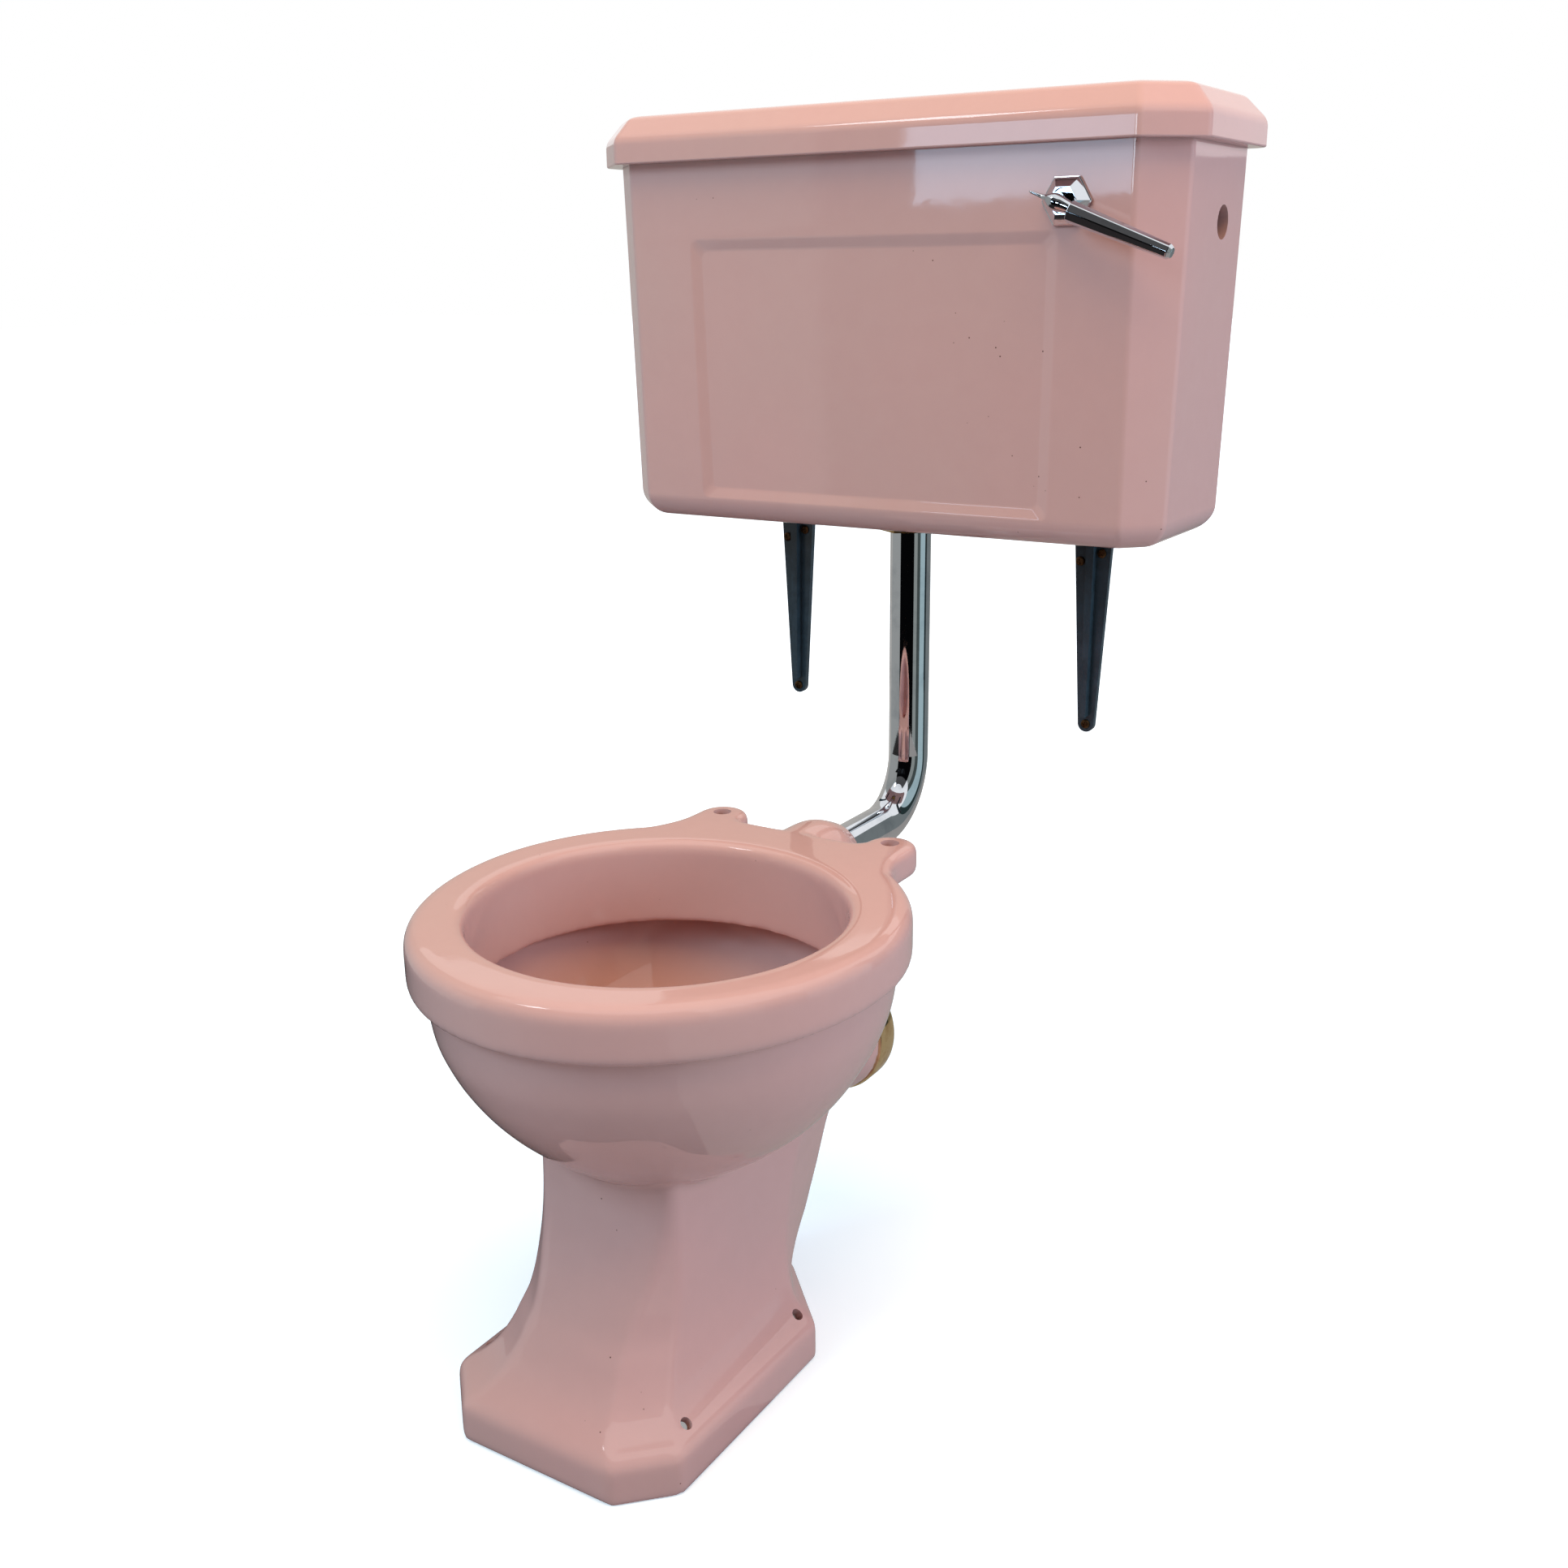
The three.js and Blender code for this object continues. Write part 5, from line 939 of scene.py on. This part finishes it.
# The parts inside the cistern keep their own shape and take a finish with detail.
INNER_FINISHES = {
    "lever_bush": "chrome", "lever_washer": "rubber", "lever_nut": "plain_brass",
    "lever_spindle": "plain_brass", "crank_arm": "plain_brass", "crank_screw": "screw_brass",
    "siphon_bell": "plastic", "siphon_neck": "plastic", "siphon_washer": "rubber",
    "siphon_backnut": "plain_brass", "flush_pipe_nut": "plain_brass", "siphon_plate": "plastic",
    "siphon_diaphragm": "rubber", "lift_rod": "plain_brass", "lift_link": "plain_brass",
    "float_valve": "plain_brass",
    "valve_washer_inner": "rubber", "valve_washer_outer": "rubber", "inlet_backnut": "plain_brass",
    "valve_piston": "plastic", "float_arm": "plain_brass", "arm_pin": "screw_brass",
}
for node, slot in INNER_FINISHES.items():
    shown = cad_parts[node]
    shown.data.materials.clear()
    shown.data.materials.append(FINISHES[slot])


# Camera

CAMERA_PLACE = (0.73124, -1.1104, 0.8632)
CAMERA_TURNS = (32.24, -17.10, -0.65)
CAMERA_LENS, CAMERA_SENSOR, CAMERA_FAR = 38.01, 36, 60


def set_camera():
    yaw, pitch, roll = (math.radians(t) for t in CAMERA_TURNS)
    ahead = Vector((-math.sin(yaw) * math.cos(pitch), math.cos(yaw) * math.cos(pitch), math.sin(pitch)))
    level = Vector((math.cos(yaw), math.sin(yaw), 0))
    above = level.cross(ahead)
    right = math.cos(roll) * level + math.sin(roll) * above
    top = -math.sin(roll) * level + math.cos(roll) * above
    data = bpy.data.cameras.new("camera")
    data.lens = CAMERA_LENS
    data.sensor_width = CAMERA_SENSOR
    data.clip_end = CAMERA_FAR
    camera = bpy.data.objects.new("camera", data)
    bpy.context.scene.collection.objects.link(camera)
    matrix = Matrix((right, top, -ahead)).transposed().to_4x4()
    matrix.translation = CAMERA_PLACE
    camera.matrix_world = matrix
    bpy.context.scene.camera = camera


# Light, floor and background

LIGHTS = (
    # name, place and target in metres, size, power, colour
    ("overhead", (0.4, -0.5, 2.9), (0, 0, 0.5), (2.2, 2.2), 50, (1.0, 0.7, 0.31)),
    ("fill_front", (-1.2, -2.4, 2.2), (0, 0, 0.55), (1.6, 1.2), 52, (0.5, 0.83, 1.0)),
    ("fill_right", (2.5, 0.6, 1.2), (0, 0.2, 0.6), (1.2, 1.2), 42, (0.62, 0.82, 1.0)),
)
SOFT_LIGHT, SOFT_COLOUR = 0.5, (0.78, 0.92, 1.05)
WHITE = (1.0, 1.0, 1.0, 1.0)
FLOOR_REACH, FLOOR_DROP = 30000, -0.0005
FLOOR_FADE = (0.5, 1.5, 0.36, 1.0)
SCREEN_RADIUS, SCREEN_MIDDLE = 1550, -100
SCREENS = (
    # name, start and end angle, low and high edge, colour
    ("front", -36, 56, 0, 1700, (6, 6, 7)),
    ("front_high", -36, 56, 1700, 3000, (83, 82, 82)),
    ("left", -110, -36, 0, 2400, (160, 161, 158)),
    ("rear_left", 180, 250, 0, 1100, (188, 184, 178)),
    ("right_pale", 56, 77, 0, 1500, (145, 150, 146)),
    ("right_dim", 77, 96, 0, 1500, (74, 82, 80)),
    ("right_cool", 96, 130, 0, 1500, (168, 190, 194)),
    ("right_dark", 130, 140, 0, 1500, (42, 56, 56)),
    ("rear", 140, 180, 0, 1000, (120, 126, 126)),
)
WINDOWS = (
    # name, start and end angle, low and high edge, colour, strength, radius
    ("window", -30, -13.5, 908, 1150, (190, 222, 250), 5.2, 1350),
    ("window_narrow", -4, 10, 905, 1150, (205, 230, 248), 10.0, 1350),
    ("window_high", -52, -36, 2450, 3200, (235, 243, 250), 11.0, 1500),
)
FLOOR_SCREENS, FLOOR_SCREEN_Z = (("dark", 200, 400, (44, 41, 41)), ("pale", 40, 200, (158, 154, 150))), 0.2
SILL_XS, SILL_YS, SILL_Z, SILL_COLOUR = (-900, 400), (-1450, -700), 870, (20, 20, 21)


def area_light(name, place_at, target, size, power, colour):
    data = bpy.data.lights.new(name, "AREA")
    data.shape = "RECTANGLE"
    data.size, data.size_y = size
    data.energy = power
    data.color = colour
    light = bpy.data.objects.new(name, data)
    bpy.context.scene.collection.objects.link(light)
    light.location = place_at
    light.rotation_euler = (Vector(target) - Vector(place_at)).to_track_quat("-Z", "Y").to_euler()
    light.visible_camera = False
    light.visible_glossy = False


def seen_by_lens(tree):
    """One for camera, mirror and glass rays, and zero for the rays that carry soft light."""
    path = tree.nodes.new("ShaderNodeLightPath")
    seen = path.outputs["Is Camera Ray"]
    for name in ("Is Glossy Ray", "Is Transmission Ray"):
        either = tree.nodes.new("ShaderNodeMath")
        either.operation = "MAXIMUM"
        tree.links.new(seen, either.inputs[0])
        tree.links.new(path.outputs[name], either.inputs[1])
        seen = either.outputs["Value"]
    return seen


def set_world():
    """A pale room for the lens and for mirrors, and a dimmer one that gives the soft light."""
    world = bpy.data.worlds.new("studio")
    bpy.context.scene.world = world
    world.use_nodes = True
    tree = world.node_tree
    background = tree.nodes["Background"]
    tint = tree.nodes.new("ShaderNodeMix")
    tint.data_type = "RGBA"
    tree.links.new(seen_by_lens(tree), tint.inputs["Factor"])
    colours = [s for s in tint.inputs if s.type == "RGBA"]
    colours[0].default_value = (*(c * SOFT_LIGHT for c in SOFT_COLOUR), 1.0)
    colours[1].default_value = WHITE
    tree.links.new([s for s in tint.outputs if s.type == "RGBA"][0], background.inputs["Color"])
    background.inputs["Strength"].default_value = 1.0


def set_floor():
    """A pale floor that takes the shadow near the set and runs out into the white background."""
    r = FLOOR_REACH
    floor = new_object("floor", [(-r, -r, 0), (r, -r, 0), (r, r, 0), (-r, r, 0)], [(0, 1, 2, 3)])
    floor.location.z = FLOOR_DROP
    f = Finish("floor", linear(240, 244, 250), 0.9)
    f.shader.inputs["Specular IOR Level"].default_value = 0.0
    pale = f.blend(f.ramp(f.noise(6.0, 3.0), 0.3, 0.7), linear(240, 244, 250), linear(237, 241, 247))
    seen = seen_by_lens(f.tree)
    f.colour(f.blend(seen, linear(172, 180, 188), pale))
    away = f.node("ShaderNodeVectorMath", operation="LENGTH")
    f.link(f.place, away.inputs[0])
    fade = f.ramp(away.outputs["Value"], *FLOOR_FADE)
    f.link(f.product(fade, seen), f.shader.inputs["Emission Strength"])
    f.shader.inputs["Emission Color"].default_value = WHITE
    floor.data.materials.append(f.material)


def mirror_only(screen, colour, strength=1.0):
    """A glowing surface that shows in reflections and nowhere else."""
    for ray in ("camera", "diffuse", "transmission", "volume_scatter", "shadow"):
        setattr(screen, f"visible_{ray}", False)
    f = Finish(screen.name, (0.0, 0.0, 0.0), 1.0)
    f.shader.inputs["Specular IOR Level"].default_value = 0.0
    f.shader.inputs["Emission Color"].default_value = (*linear(*colour), 1.0)
    f.shader.inputs["Emission Strength"].default_value = strength
    screen.data.materials.append(f.material)


def on_circle(start, end, radius, steps):
    """Points round the set, from one angle to another. The angles run from -Y towards +X."""
    angles = [math.radians(a) for a in np.linspace(start, end, steps)]
    return [(radius * math.sin(a), SCREEN_MIDDLE - radius * math.cos(a)) for a in angles]


def flag(name, start, end, low, high, colour, strength=1.0, radius=SCREEN_RADIUS):
    """A curved screen round the set."""
    points = [(x, y, z) for x, y in on_circle(start, end, radius, 25) for z in (low, high)]
    faces = [(i, i + 2, i + 3, i + 1) for i in range(0, len(points) - 2, 2)]
    mirror_only(new_object(name, points, faces), colour, strength)


def set_reflections():
    """What the glaze and the chrome mirror: a dim room with windows at its front left."""
    for name, *rest in SCREENS:
        flag(f"flag_{name}", *rest)
    for window in WINDOWS:
        flag(*window)
    for name, start, end, colour in FLOOR_SCREENS:
        fan = [(0, SCREEN_MIDDLE)] + on_circle(start, end, SCREEN_RADIUS, 33)
        screen = new_object(f"flag_floor_{name}", flat(fan, FLOOR_SCREEN_Z), [tuple(range(len(fan)))])
        mirror_only(screen, colour)
    # A dark sheet below the windows keeps their image out of the bowl.
    (x0, x1), (y0, y1) = SILL_XS, SILL_YS
    sill = flat([(x0, y0), (x1, y0), (x1, y1), (x0, y1)], SILL_Z)
    mirror_only(new_object("flag_sill", sill, [(0, 1, 2, 3)]), SILL_COLOUR)


set_camera()
set_world()
set_floor()
set_reflections()
for light in LIGHTS:
    area_light(*light)
bpy.context.scene.view_settings.view_transform = "Standard"
